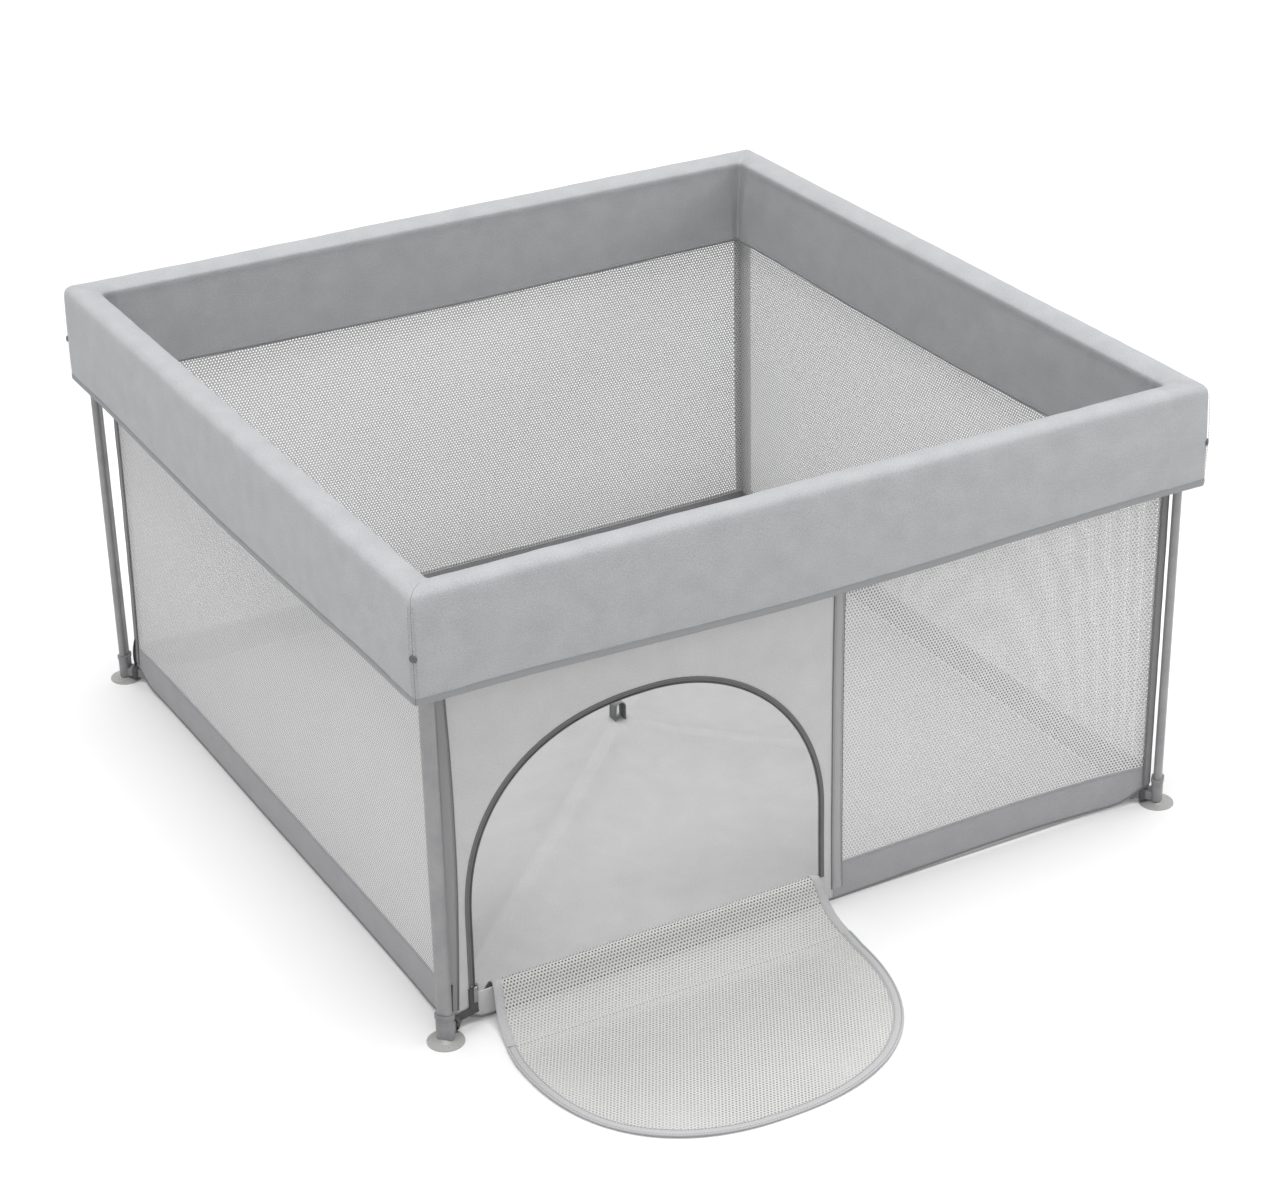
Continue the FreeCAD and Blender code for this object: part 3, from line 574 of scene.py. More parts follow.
STUD_METAL = moulded("stud_lacquer", colour(96, 97, 99), colour(80, 81, 83), rough=0.35)
POST_PAINT = painted("post_paint", colour(150, 150, 151), colour(140, 140, 142))
RAIL_PAINT = painted("rail_paint", colour(170, 171, 172), colour(158, 158, 160))
FOOT_PLASTIC = moulded("foot_plastic", colour(140, 140, 142), colour(126, 126, 128))
DARK_PLASTIC = moulded("dark_plastic", colour(74, 74, 76), colour(60, 60, 62))
BUTTON_PLASTIC = moulded("button_plastic", colour(208, 120, 60), colour(196, 108, 50), rough=0.35)
CUP_PLASTIC = soft_rubber("cup_plastic", colour(194, 194, 192), colour(178, 178, 176))
PIN_STEEL = steel("pin_steel", colour(190, 190, 192), colour(160, 160, 163))


# Covers over the rails


def smooth_route(points, steps):
    """Evenly stepped points on a smooth curve through the given ones."""
    result = []
    count = len(points) - 1
    for k in range(steps + 1):
        t = k / steps * count
        i = min(int(t), count - 1)
        f = t - i
        p = [points[max(i - 1, 0)], points[i], points[i + 1], points[min(i + 2, count)]]
        result.append(tuple(0.5 * ((2 * p[1][a]) + (-p[0][a] + p[2][a]) * f
                                   + (2 * p[0][a] - 5 * p[1][a] + 4 * p[2][a] - p[3][a]) * f * f
                                   + (-p[0][a] + 3 * p[1][a] - 3 * p[2][a] + p[3][a]) * f ** 3)
                            for a in range(2)))
    return result


def hang(x):
    """How far the cover's lower edge drops at x along a side."""
    if abs(x) >= COVER_END:
        return 0.0
    return HANG * math.cos(math.pi * x / (2 * COVER_END)) ** 2


def band_profile(x):
    """The padded band's section at x, from the outer panel's lower edge over the top to the inner
    one's: (distance from the pen's middle, height, how far the padding bulges out there)."""
    low = COVER_LOW - hang(x)
    low_in = COVER_LOW + INNER_LIFT - hang(x) * 0.6
    top = smooth_route([(COVER_OUT - a, COVER_TOP - b) for a, b in TOP_SECTION], 26)
    points = []
    for i in range(16):
        t = i / 16
        points.append((COVER_OUT, low + (top[0][1] - low) * t, math.sin(math.pi * t) * OUTER_BULGE))
    points += [(away, height, 0.0) for away, height in top]
    away, height = top[-1]
    for i in range(1, 15):
        t = i / 14
        points.append((away + (COVER_IN - away) * t, height + (low_in - height) * t,
                       math.sin(math.pi * t) * INNER_BULGE))
    return points


def section_normal(points, i):
    """The outward direction of a section at its point i, as (away from the pen's middle, up)."""
    a = points[max(i - 1, 0)]
    b = points[min(i + 1, len(points) - 1)]
    run = Vector((b[0] - a[0], b[1] - a[1]))
    return Vector((run.y, -run.x)).normalized()


def padding(place, corner_near):
    """Unevenness of the padding at a place: long soft swells, and finer pulls near a corner."""
    swell = 0.0011 * ripple(place, 0.11, 3.0) + 0.0005 * ripple(place, 0.035, 7.0)
    pull = 0.0009 * ripple((place[0], place[1], place[2] * 0.35), 0.018, 11.0)
    return swell + pull * math.exp(-corner_near / 0.05)


def band_point(x, i, side):
    """A point of a side's band, before it is turned: section point i at x along the side."""
    points = band_profile(x)
    away, height, bulge = points[i]
    normal = section_normal(points, i)
    place = (x, -away, height)
    lift = bulge + padding(turned(place, side), max(COVER_OUT - abs(x), 0.0))
    return Vector((x, -(away + normal.x * lift), height + normal.y * lift))


def corner_radius(away):
    share = min(max((away - COVER_IN) / (COVER_OUT - COVER_IN), 0.0), 1.0)
    return CORNER_R_IN + (CORNER_R_OUT - CORNER_R_IN) * share


CORNER_TURN = [0, 12, 24, 34, 40, 43, 45, 47, 50, 56, 66, 78, 90]
CORNER_STRAIGHT = 6


def corner_path(away):
    """Plan of the cover's corner at a distance from the pen's middle: points and outward normals."""
    radius = corner_radius(away)
    centre = Vector((-(away - radius), -(away - radius), 0))
    points = []
    for i in range(CORNER_STRAIGHT):
        x = -COVER_END + (centre.x + COVER_END) * i / CORNER_STRAIGHT
        points.append((Vector((x, -away, 0)), Vector((0, -1, 0))))
    for degrees in CORNER_TURN:
        a = math.radians(degrees)
        out = Vector((-math.sin(a), -math.cos(a), 0))
        points.append((centre + out * radius, out))
    for i in range(1, CORNER_STRAIGHT + 1):
        y = centre.y + (-COVER_END - centre.y) * i / CORNER_STRAIGHT
        points.append((Vector((-away, y, 0)), Vector((-1, 0, 0))))
    return points


def corner_point(step, i, corner):
    """A point of a corner's band, before it is turned: section point i at a step of its plan."""
    points = band_profile(COVER_OUT)
    away, height, bulge = points[i]
    normal = section_normal(points, i)
    place, out = corner_path(away)[step]
    seam = abs(step - CORNER_STRAIGHT - CORNER_TURN.index(45))
    groove = -SEAM_GROOVE * math.exp(-seam * seam / 0.6) if away > COVER_IN + 0.03 else 0.0
    place = place + Vector((0, 0, height))
    near = max(COVER_OUT - abs(place.x), COVER_OUT - abs(place.y), 0.0)
    lift = bulge * min(1.0, near / 0.04 + 0.35) + padding(turned(place, corner), near) + groove
    return place + out * normal.x * lift + Vector((0, 0, normal.y * lift))


def binding_profile(height):
    """Section of a tape folded round a panel's lower edge: (out, up) from the panel's outer face."""
    deep = SKIN + 0.0008
    return [(0.0, height), (0.0010, height - 0.0008), (0.0013, height * 0.5), (0.0010, 0.0005),
            (0.0, -0.0010), (-deep * 0.5, -0.0016), (-deep, -0.0008), (-deep - 0.0006, height * 0.5),
            (-deep, height * 0.95), (-deep + 0.0010, height * 0.5), (-deep + 0.0012, 0.0004),
            (-0.0006, 0.0004), (-0.0004, height * 0.5)]


def edge_binding(name, line, outs, profile, runs, side, body):
    """Folded tape along a line of a panel's lower edge, with the outward direction at each point."""
    rings = [[p + out * away + Vector((0, 0, up)) for away, up in profile]
             for p, out in zip(line, outs)]
    tape = skin(name, rings, runs, [k * 0.002 for k in range(len(profile) + 1)])
    return dress(tape, BINDING_TAPE, body, side)


def cover_half(side, half, sign):
    """The padded cover over one half rail, with its binding and stitching."""
    xs = spread(-COVER_END, 0.0, 56)
    if sign > 0:
        xs = [-x for x in reversed(xs)]
    runs = run_along([point[:2] for point in band_profile(0.0)])
    name = f"{SIDES[side]}_{half}"
    body = f"rail_{name}"
    band = grid(f"cover_band_{name}", xs, range(len(runs)), lambda x, i: band_point(x, i, side),
                lambda x, i: (x + side, runs[i]), UP, SKIN, -1.0)
    dress(band, COVER_CLOTH, body, side)
    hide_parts(f"cover_{name}")
    pieces = [band]
    for label, i, out, height in (("binding", 0, OUT, BINDING),
                                  ("inner_binding", len(runs) - 1, -OUT, BINDING_IN)):
        pieces.append(edge_binding(f"cover_{label}_{name}", [band_point(x, i, side) for x in xs],
                                   [out] * len(xs), binding_profile(height), xs, side, body))
    under = [band_point(x, 0, side) + OUT * 0.0013 + UP * (BINDING - BAND_STITCHES) for x in xs]
    thread = stitches(f"cover_stitches_{name}", [(under, [OUT] * len(under))])
    pieces.append(dress(thread, THREAD, body, side))
    for piece in pieces:
        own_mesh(piece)


def cover_corner(corner):
    """The cover over one corner, with its seam, stud, stitches and binding."""
    name = CORNERS[corner]
    body = f"post_{name}"
    plan = corner_path(COVER_OUT)
    steps = range(len(plan))
    outs = [out for _, out in plan]
    lengths = run_along([place for place, _ in plan])
    runs = run_along([point[:2] for point in band_profile(COVER_OUT)])
    band = grid(f"cover_corner_band_{name}", steps, range(len(runs)),
                lambda s, i: corner_point(s, i, corner),
                lambda s, i: (-COVER_END - lengths[s] + corner, runs[i]), UP, SKIN, -1.0)
    dress(band, COVER_CLOTH, body, corner)
    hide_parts(f"cover_corner_{name}")
    inner_outs = [-out for _, out in corner_path(COVER_IN)]
    for label, i, aways, height in (("binding", 0, outs, BINDING),
                                    ("inner_binding", len(runs) - 1, inner_outs, BINDING_IN)):
        profile = [point for k, point in enumerate(binding_profile(height)) if k not in (1, 9, 12)]
        edge_binding(f"cover_corner_{label}_{name}", [corner_point(s, i, corner) for s in steps],
                     aways, profile, lengths, corner, body)

    seam_step = CORNER_STRAIGHT + CORNER_TURN.index(45)
    rows = []
    for shift in (-4, 4):
        place, out = plan[seam_step + shift]
        line = [place + out * (0.0012 + 0.0022 * math.sin(math.pi * (z - COVER_LOW) / 0.133))
                + UP * z for z in spread(COVER_LOW + BINDING, COVER_TOP - 0.016, 40)]
        rows.append((line, [out] * len(line)))
    under = [corner_point(s, 0, corner) + outs[s] * 0.0013 + UP * (BINDING - BAND_STITCHES)
             for s in steps]
    rows.append((under, outs))
    dress(stitches(f"corner_stitches_{name}", rows), THREAD, body, corner)
    place, out = plan[seam_step]
    stud = lathe(f"press_stud_{name}", STUD, place + UP * STUD_Z + out * 0.0008, out)
    dress(stud, STUD_METAL, body, corner)


# Walls


def bottom_edge(x):
    """Height of a wall's lower edge, which lifts over the foot's clevis at each corner."""
    near = WALL_AT - abs(x)
    return WALL_LOW + 0.022 * math.exp(-(near / 0.028) ** 2)


def drawn_out(side, x):
    """The walls' front right corner is drawn out closer to its post than the other corners."""
    return CLOSE_CORNER if (side, x > 0) in ((0, True), (1, False)) else 0.0


def hem_lift(side, x, z):
    """How far the front wall's cloth is pulled up beside the door, most of all at its hem."""
    if side or not SEAM_X < x < WALL_AT:
        return 0.0
    along = (x - SEAM_X) / (WALL_AT - SEAM_X)
    return HEM_LIFT * math.sin(math.pi * along ** 1.3) * math.exp(-z / 0.12)


def wall_point(x, z, out=0.0, side=0):
    """A point of a side's wall cloth, which hangs from the cover and is pulled to the feet."""
    near = max(WALL_AT - abs(x), 0.0)
    lean = max(FOOT_LEAN * (1 - z / WALL_HIGH) ** 2, drawn_out(side, x)) * math.exp(-near / 0.06)
    span = math.cos(math.pi * x / (2 * WALL_AT))
    slack = 0.004 * span * math.sin(math.pi * min(z / 0.55, 1.0))
    slack += 0.0010 * ripple((x, 0, z), 0.16, 5.0) * span
    return Vector((x + math.copysign(lean, x), -(WALL_AT + lean - slack + out), z + hem_lift(side, x, z)))


def wall_panel(name, side, x_from, x_to, z_from, z_to, material, out=0.0, columns=70, rows=30,
               thickness=MESH, follow_edge=False):
    """A part of a side's wall between two heights, or from its lower edge up."""
    def place(x, v):
        low = bottom_edge(x) if follow_edge else z_from
        return wall_point(x, low + (z_to - low) * v, out, side)

    def cloth(x, v):
        return (x + side * 2, z_from + (z_to - z_from) * v)

    piece = grid(name, spread(x_from, x_to, columns), spread(0.0, 1.0, rows), place, cloth,
                 OUT, thickness)
    dress(piece, material, f"post_{CORNERS[side]}", side)
    return gather_wall(piece)


def base_strip(name, side, x_from, x_to, top, material, out=0.0008):
    piece = wall_panel(name, side, x_from, x_to, WALL_LOW, top, material, out, 90, 6, CLOTH, True)


ROUND_CORD = [(math.cos(2 * math.pi * k / 8), math.sin(2 * math.pi * k / 8)) for k in range(8)]


def cord_profile(radius):
    return [(a * radius, b * radius) for a, b in ROUND_CORD]


def tape_profile(width, thickness):
    """A flat tape's section with rounded edges: (across, out)."""
    w, t = width / 2, thickness
    return [(-w, 0.0), (-w, t * 0.6), (-w + t * 0.6, t), (0.0, t * 1.1), (w - t * 0.6, t), (w, t * 0.6),
            (w, 0.0), (0.0, -t * 0.2)]


def sewn(name, line, profile, material, side=0):
    """A tape, cord or hem along a line of a side's wall."""
    piece = sweep(name, line, [OUT] * len(line), profile)
    dress(piece, material, f"post_{CORNERS[side]}", side)
    return gather_wall(piece)


def sewn_thread(name, lines, material, side=0, slot="wall_fabric", **sizes):
    """Stitches along lines of a side's wall."""
    piece = stitches(name, [(line, [OUT] * len(line)) for line in lines], **sizes)
    dress(piece, material, f"post_{CORNERS[side]}", side)
    return gather_wall(piece)


def hem(side):
    """Piping along a wall's lower edge."""
    line = [wall_point(x, bottom_edge(x), 0.0012, side) for x in spread(-WALL_AT, WALL_AT, 80)]
    return sewn(f"hem_{SIDES[side]}", line, cord_profile(0.0017), EDGE_CORD, side)


def wall_thread(side, x_from, upright=()):
    """Stitches along the top of the base strip from x_from on, and upright ones at some x."""
    lines = [[wall_point(x, BASE_TOP - 0.003, 0.0016, side) for x in spread(x_from, WALL_AT, 120)]]
    for x in upright:
        lines.append([wall_point(x, z, 0.0019, side) for z in spread(0.03, 0.55, 60)])
    return sewn_thread(f"wall_stitches_{SIDES[side]}", lines, THREAD, side)


def mesh_wall(side):
    """A whole wall of netting between two corners, over a base strip of cloth."""
    name = SIDES[side]
    net = wall_panel(f"wall_net_{name}", side, -WALL_AT, WALL_AT, BASE_TOP - 0.004, WALL_HIGH, WALL_NET)
    base_strip(f"wall_base_{name}", side, -WALL_AT, WALL_AT, BASE_TOP, BASE_CLOTH)
    sewn_on = [hem(side), wall_thread(side, -WALL_AT)]
    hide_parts(f"wall_{CORNERS[side]}")


def front_wall():
    """Smooth cloth with the arched door on the left, and netting on the right."""
    net = wall_panel("wall_net_front", 0, SEAM_X, WALL_AT, BASE_TOP - 0.004, WALL_HIGH, WALL_NET,
                     columns=36)
    base_strip("wall_base_front", 0, SEAM_X, WALL_AT, BASE_TOP, BASE_CLOTH)
    edge = hem(0)
    panel = door_panel()
    base_strip("wall_sill_front", 0, -WALL_AT, SEAM_X, SILL_Z, PANEL_CLOTH, 0.0)
    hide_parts("wall_front_left")
    levels = spread(0.02, 0.56, 50)
    half = SEAM_TAPE / 2
    x = SEAM_X + half - 0.002
    line = [wall_point(x, z, CLOTH / 2) for z in levels]
    seam = [sewn("front_seam_tape", line, tape_profile(SEAM_TAPE, 0.0011), MIDDLE_TAPE)]
    for label, shift in (("left", -half), ("right", half)):
        line = [wall_point(x + shift, z, CLOTH) for z in levels]
        seam.append(sewn(f"front_seam_cord_{label}", line, cord_profile(0.0009), EDGE_CORD))
    thread = wall_thread(0, SEAM_X + SEAM_TAPE, (x - half + 0.0025, x + half - 0.0025))
    arch = [arch_outline(PANEL_R, k / 200) for k in range(201)]
    opening = sum((b[0] - a[0]) * ((a[1] + b[1]) / 2 - SILL_Z) for a, b in zip(arch, arch[1:]))


def arch_outline(radius, share):
    """A point of the door's outline at a share of the way from its left foot to its right one."""
    leg = SPRING_Z - SILL_Z
    total = 2 * leg + math.pi * radius
    run = share * total
    if run < leg:
        return DOOR_X - radius, SILL_Z + run
    if run > total - leg:
        return DOOR_X + radius - ARCH_PULL, SILL_Z + total - run
    a = math.pi - (run - leg) / radius
    across, up = math.cos(a), math.sin(a)
    if across > 0:
        return DOOR_X + (radius - ARCH_PULL) * across, SPRING_Z + (radius - ARCH_DROP) * up
    full = 2 / ARCH_BLUNT
    return DOOR_X - radius * abs(across) ** full, SPRING_Z + (radius - ARCH_DROP) * abs(up) ** full


def door_panel():
    """The smooth panel as rings from the door's arch out to the panel's straight edges."""
    left, right, top = 40, 40, 56
    count = left + top + right

    def border(i):
        if i <= left:
            return -WALL_AT, SILL_Z + (WALL_HIGH - SILL_Z) * i / left
        if i <= left + top:
            return -WALL_AT + (SEAM_X + WALL_AT) * (i - left) / top, WALL_HIGH
        return SEAM_X, WALL_HIGH - (WALL_HIGH - SILL_Z) * (i - left - top) / right

    def place(i, v):
        x0, z0 = arch_outline(PANEL_R, i / count)
        x1, z1 = border(i)
        return x0 + (x1 - x0) * v, z0 + (z1 - z0) * v

    piece = grid("wall_panel_front", list(range(count + 1)), spread(0.0, 1.0, 14),
                 lambda i, v: wall_point(*place(i, v)), place, OUT, CLOTH)
    dress(piece, PANEL_CLOTH, "post_front_left")
    return gather_wall(piece)


def corner_tape(corner):
    """Tape folded round the walls' corner, from the cover down to the foot."""
    name = CORNERS[corner]
    body = f"post_{name}"
    levels = spread(0.030, 0.575, 44)
    across = [-1.0, -0.72, -0.45, -0.2, -0.06, 0.06, 0.2, 0.45, 0.72, 1.0]

    def place(z, u):
        swell = 0.7 if corner == 0 else 0.1
        width = TAPE_WIDE * (1.0 + swell * math.sin(math.pi * min(z / 0.56, 1.0)))
        corner_at = wall_point(-WALL_AT, z, 0.0012, corner)
        reach = abs(u) * width
        wave = 0.0006 * ripple((u * 0.02, 0, z), 0.05, 9.0)
        if u < 0:
            return Vector((corner_at.y - wave, corner_at.y + reach, z))
        return Vector((corner_at.y + reach, corner_at.y - wave, z))

    tape = grid(f"corner_tape_{name}", levels, across, place, lambda z, u: (z, u * TAPE_WIDE),
                Vector((-1, -1, 0)), 0.0011)
    dress(tape, CORNER_TAPE, body, corner)
    fold_out = Vector((-1, -1, 0)).normalized()
    rows = []
    for label, u, out, radius, away in (("cord_side", -1.0, Vector((-1, 0, 0)), 0.0010, 0.0004),
                                        ("cord_front", 1.0, OUT, 0.0010, 0.0004),
                                        ("fold", 0.0, fold_out, 0.0011, 0.0002)):
        line = [place(z, u) + out * away for z in levels]
        cord = sweep(f"corner_{label}_{name}", line, [out] * len(line), cord_profile(radius))
        dress(cord, EDGE_CORD, body, corner)
        if u:
            rows.append(([place(z, u * 0.86) + out * 0.0010 for z in levels], [out] * len(line)))
    dress(stitches(f"corner_tape_stitches_{name}", rows), DARK_THREAD, body, corner)
    tab(corner)


def tab(corner):
    """A dark elastic loop round the foot's clevis, and the tab that ties it to the walls' corner."""
    name = CORNERS[corner]
    inward = Vector((1, 1, 0)).normalized()
    across = Vector((1, -1, 0)).normalized()
    middle = Vector((-POST_AT, -POST_AT, 0)) + inward * 0.020
    half, low, high = 0.0115, 0.0065, 0.0235
    ring = []
    outs = []
    for k in range(32):
        a = 2 * math.pi * k / 32
        ca, sa = math.cos(a), math.sin(a)
        bulge = (abs(ca) ** 5 + abs(sa) ** 5) ** (-1 / 5)
        ring.append(middle + across * (half * ca * bulge)
                    + UP * ((low + high) / 2 + (high - low) / 2 * sa * bulge))
        outs.append(across * ca + UP * sa)
    piece = sweep(f"foot_loop_{name}", ring, outs, tape_profile(0.008, 0.0010), closed=True)
    dress(piece, DARK_TAPE, f"post_{name}", corner)
    line = []
    for z in spread(high, 0.072, 12):
        up = (z - high) / 0.05
        lean = 0.0195 + 0.004 * up - 0.003 * math.sin(math.pi * up)
        line.append(Vector((-POST_AT, -POST_AT, z)) + inward * lean)
    piece = sweep(f"corner_tab_{name}", line, [-inward] * len(line), tape_profile(0.011, 0.0012))
    dress(piece, DARK_TAPE, f"post_{name}", corner)
    if corner == 0:
        door_dark_strip()


def door_dark_strip():
    """A dark strip along the wall's foot from the near foot to the door's left end, and the zip's end
    cover.
    """
    xs = spread(-WALL_AT - 0.002, DOOR_X - ZIP_R + 0.010, 16)
    line = [wall_point(x, 0.017 + 0.006 * (x + WALL_AT) / 0.04, 0.0016) for x in xs]
    sewn("door_dark_strip", line, tape_profile(0.012, 0.0016), DARK_TAPE, 0)
    line = [wall_point(DOOR_X - ZIP_R + 0.004, z, CLOTH) for z in spread(0.022, SILL_Z + 0.010, 10)]
    sewn("zip_end_cover", line, tape_profile(0.013, 0.0026), DARK_TAPE, 0)


# Floor


def floor_height(x, y):
    """Height of the floor's cloth: flat, but raised over the diagonal arms and over the hub."""
    off_arm = abs(abs(x) - abs(y)) / math.sqrt(2)
    centre = math.hypot(x, y)
    arm_top = ARM_TOP + 0.0018
    ridge = arm_top * max(0.0, 1 - max(off_arm - 0.009, 0.0) / 0.11) ** 2.2
    hub_top = HUB_TOP + 0.0012
    peak = hub_top * max(0.0, 1 - max(centre - 0.036, 0.0) / 0.105) ** 1.6 if centre > 0.036 else hub_top
    around = math.atan2(y, x)
    crease = 0.0016 * math.sin(5 * around + 1.1) * math.exp(-((centre - 0.07) / 0.05) ** 2)
    wave = 0.0009 * ripple((x, y, 0), 0.12, 2.0) + 0.0004 * ripple((x, y, 0), 0.04, 4.0)
    edge = min(1.0, (FLOOR_EDGE - max(abs(x), abs(y))) / 0.05)
    level = (ridge ** 4 + peak ** 4) ** 0.25
    return FLOOR_LOW + 0.0012 + level + max(crease, -0.0004) + max(wave, -0.0008) * edge


def floor_quadrant(corner):
    """A quarter of the floor's cloth, from the hub out to one corner."""
    name = CORNERS[corner]
    length = FLOOR_EDGE * math.sqrt(2)
    steps = 22
    across = sorted([-((k / steps) ** 1.7) for k in range(1, steps + 1)]
                    + [(k / steps) ** 1.7 for k in range(steps + 1)])
    start = [0.010 * (k / 4) ** 1.2 for k in range(5)]
    along = start + spread(0.014, length - 0.012, 84) + [length - 0.005, length]
    diagonal = Vector((-1, -1, 0)).normalized()
    sideways = Vector((1, -1, 0)).normalized()

    def place(s, t):
        width = min(s, length - s)
        p = diagonal * s + sideways * (t * width)
        spot = turned(p, corner)
        return Vector((p.x, p.y, floor_height(spot.x, spot.y)))

    def cloth(s, t):
        p = diagonal * s + sideways * (t * min(s, length - s))
        return (p.x + 3, p.y + corner * 2)

    piece = grid(f"floor_cloth_{name}", along, across, place, cloth, UP, FLOOR_CLOTH)
    dress(piece, FLOOR_WEAVE, f"arm_{name}", corner)
    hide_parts(f"floor_{name}")
    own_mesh(piece)


# Lift loop


def lift_loop():
    """A webbing loop that stands up from the hub through the floor."""
    half_gap = (loop_high.x - loop_low.x) / 2 - 0.0008
    top = loop_high.z - 0.0008
    bend_z = top - half_gap
    line = []
    outs = []
    for z in spread(loop_low.z + 0.0008, bend_z, 12)[:-1]:
        lean = 0.0008 * math.sin(math.pi * (z - loop_low.z) / 0.03)
        line.append(Vector((-half_gap - lean, 0, z)))
        outs.append(Vector((-1, 0, 0)))
    for k in range(17):
        a = math.pi * (1 - k / 16)
        line.append(Vector((half_gap * math.cos(a), 0, bend_z + half_gap * math.sin(a))))
        outs.append(Vector((math.cos(a), 0, math.sin(a))))
    for z in reversed(spread(loop_low.z + 0.0008, bend_z, 12)[:-1]):
        line.append(Vector((half_gap, 0, z)))
        outs.append(Vector((1, 0, 0)))
    wide = loop_high.y - loop_low.y
    profile = [(-wide / 2, -0.0004), (-wide / 2, 0.0004), (-wide / 2 + 0.0005, 0.0009), (0.0, 0.0008),
               (wide / 2 - 0.0005, 0.0009), (wide / 2, 0.0004), (wide / 2, -0.0004),
               (wide / 2 - 0.0005, -0.0009), (0.0, -0.0008), (-wide / 2 + 0.0005, -0.0009)]
    loop = sweep("lift_loop_webbing", line, outs, profile)
    dress(loop, LOOP_WEBBING, "hub")
    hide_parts("lift_loop")
    rows = [([p + o * 0.0010 + Vector((0, y, 0)) for p, o in zip(line, outs)], outs)
            for y in (-wide / 2 + 0.002, wide / 2 - 0.002)]
    thread = stitches("lift_loop_stitches", rows, pitch=0.003, length=0.0022, thick=0.0005)
    dress(thread, DARK_THREAD, "hub")


# Door


def zip_line(radius, out, count=150):
    """The door's outline at a radius, on the wall's outer face."""
    points = [arch_outline(radius, k / count) for k in range(count + 1)]
    return [wall_point(x, z, out) for x, z in points]


def door_zip():
    """The zip round the door: its tape, coil, piping, teeth and stitches."""
    tape = sewn("zip_tape", zip_line(ZIP_R - 0.004, CLOTH / 2), tape_profile(0.0070, 0.0008), ZIP_TAPE)
    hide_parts("zip_track")
    coil_r = ZIP_R - 0.0062
    sewn("zip_coil", zip_line(coil_r, CLOTH / 2 + 0.0008), cord_profile(0.0014), ZIP_TEETH)
    sewn("zip_piping", zip_line(ZIP_R + 0.0002, CLOTH / 2 + 0.0004), cord_profile(0.0010), EDGE_CORD)
    sewn_thread("zip_teeth", [zip_line(coil_r, CLOTH / 2 + 0.0020, 300)], ZIP_TEETH, slot="zip_metal",
                pitch=0.0024, length=0.0013, thick=0.0024)
    sewn_thread("zip_stitches", [zip_line(ZIP_R - 0.0022, CLOTH / 2 + 0.0011, 300)], DARK_THREAD,
                slot="zip_tape", pitch=0.0034, length=0.0024, thick=0.0005)


def flap_span(y):
    """Middle and half width of the lying flap at a depth y: a blunt arch that leans a little left."""
    down = min(max((FLAP_CREST - y) / (FLAP_CREST - FLAP_SPRING), 0.0), 1.0)
    round_end = min(max((FLAP_SPRING - y) / (FLAP_SPRING - FLAP_TIP), 0.0), 1.0)
    half = FLAP_R * (1 - FLAP_WAIST * (1 - down) ** 2) * (1 - round_end ** FLAP_BLUNT) ** (1 / FLAP_BLUNT)
    return DOOR_X + FLAP_DRIFT * (1 - 1.8 * down) - FLAP_DRIFT * round_end, half


def flap_rows(start, straight=12, bend=48):
    """Depths y of the flap's rows, closer together towards its round end."""
    rows = [start + (FLAP_SPRING - start) * k / straight for k in range(straight)]
    return rows + [FLAP_SPRING - (FLAP_SPRING - FLAP_TIP) * math.sin(math.pi / 2 * k / bend)
                   for k in range(bend + 1)]


def flap_rim(inset, start, fine=1):
    """Points along the flap's rim, from its left near corner round to its right one."""
    left = []
    right = []
    for y in flap_rows(start, 12 * fine, 48 * fine):
        middle, half = flap_span(y)
        left.append((middle - half, y))
        right.append((middle + half, y))
    outline = left + right[-2::-1]
    rim = []
    for i, (x, y) in enumerate(outline):
        a = outline[max(i - 1, 0)]
        b = outline[min(i + 1, len(outline) - 1)]
        run = Vector((b[0] - a[0], b[1] - a[1])).normalized()
        rim.append((x - run.y * inset, y + run.x * inset))
    return rim


def flap_lift(x, y):
    """Height of the flap's cloth above the ground: nearly flat, with slight waves at its rim."""
    out = math.hypot(x - DOOR_X, max(FLAP_SPRING - y, 0.0)) / FLAP_R
    wave = 0.0014 * (1 + ripple((x, y, 0), 0.10, 6.0)) * min(out, 1.0) ** 2
    return flap_low.z + 0.0008 + wave


HEM_PROFILE = [(-0.0065, -0.0006), (-0.0068, 0.0002), (-0.0060, 0.0011), (0.0, 0.0013),
               (0.0060, 0.0011), (0.0066, 0.0006), (0.0064, -0.0006), (0.0, -0.0010)]


def flap_line(inset, start, lift, fine=1):
    """A line on the flap that far inside its rim and above its cloth, for tapes and stitches."""
    return [Vector((x, y, flap_lift(x, y) + lift)) for x, y in flap_rim(inset, start, fine)]


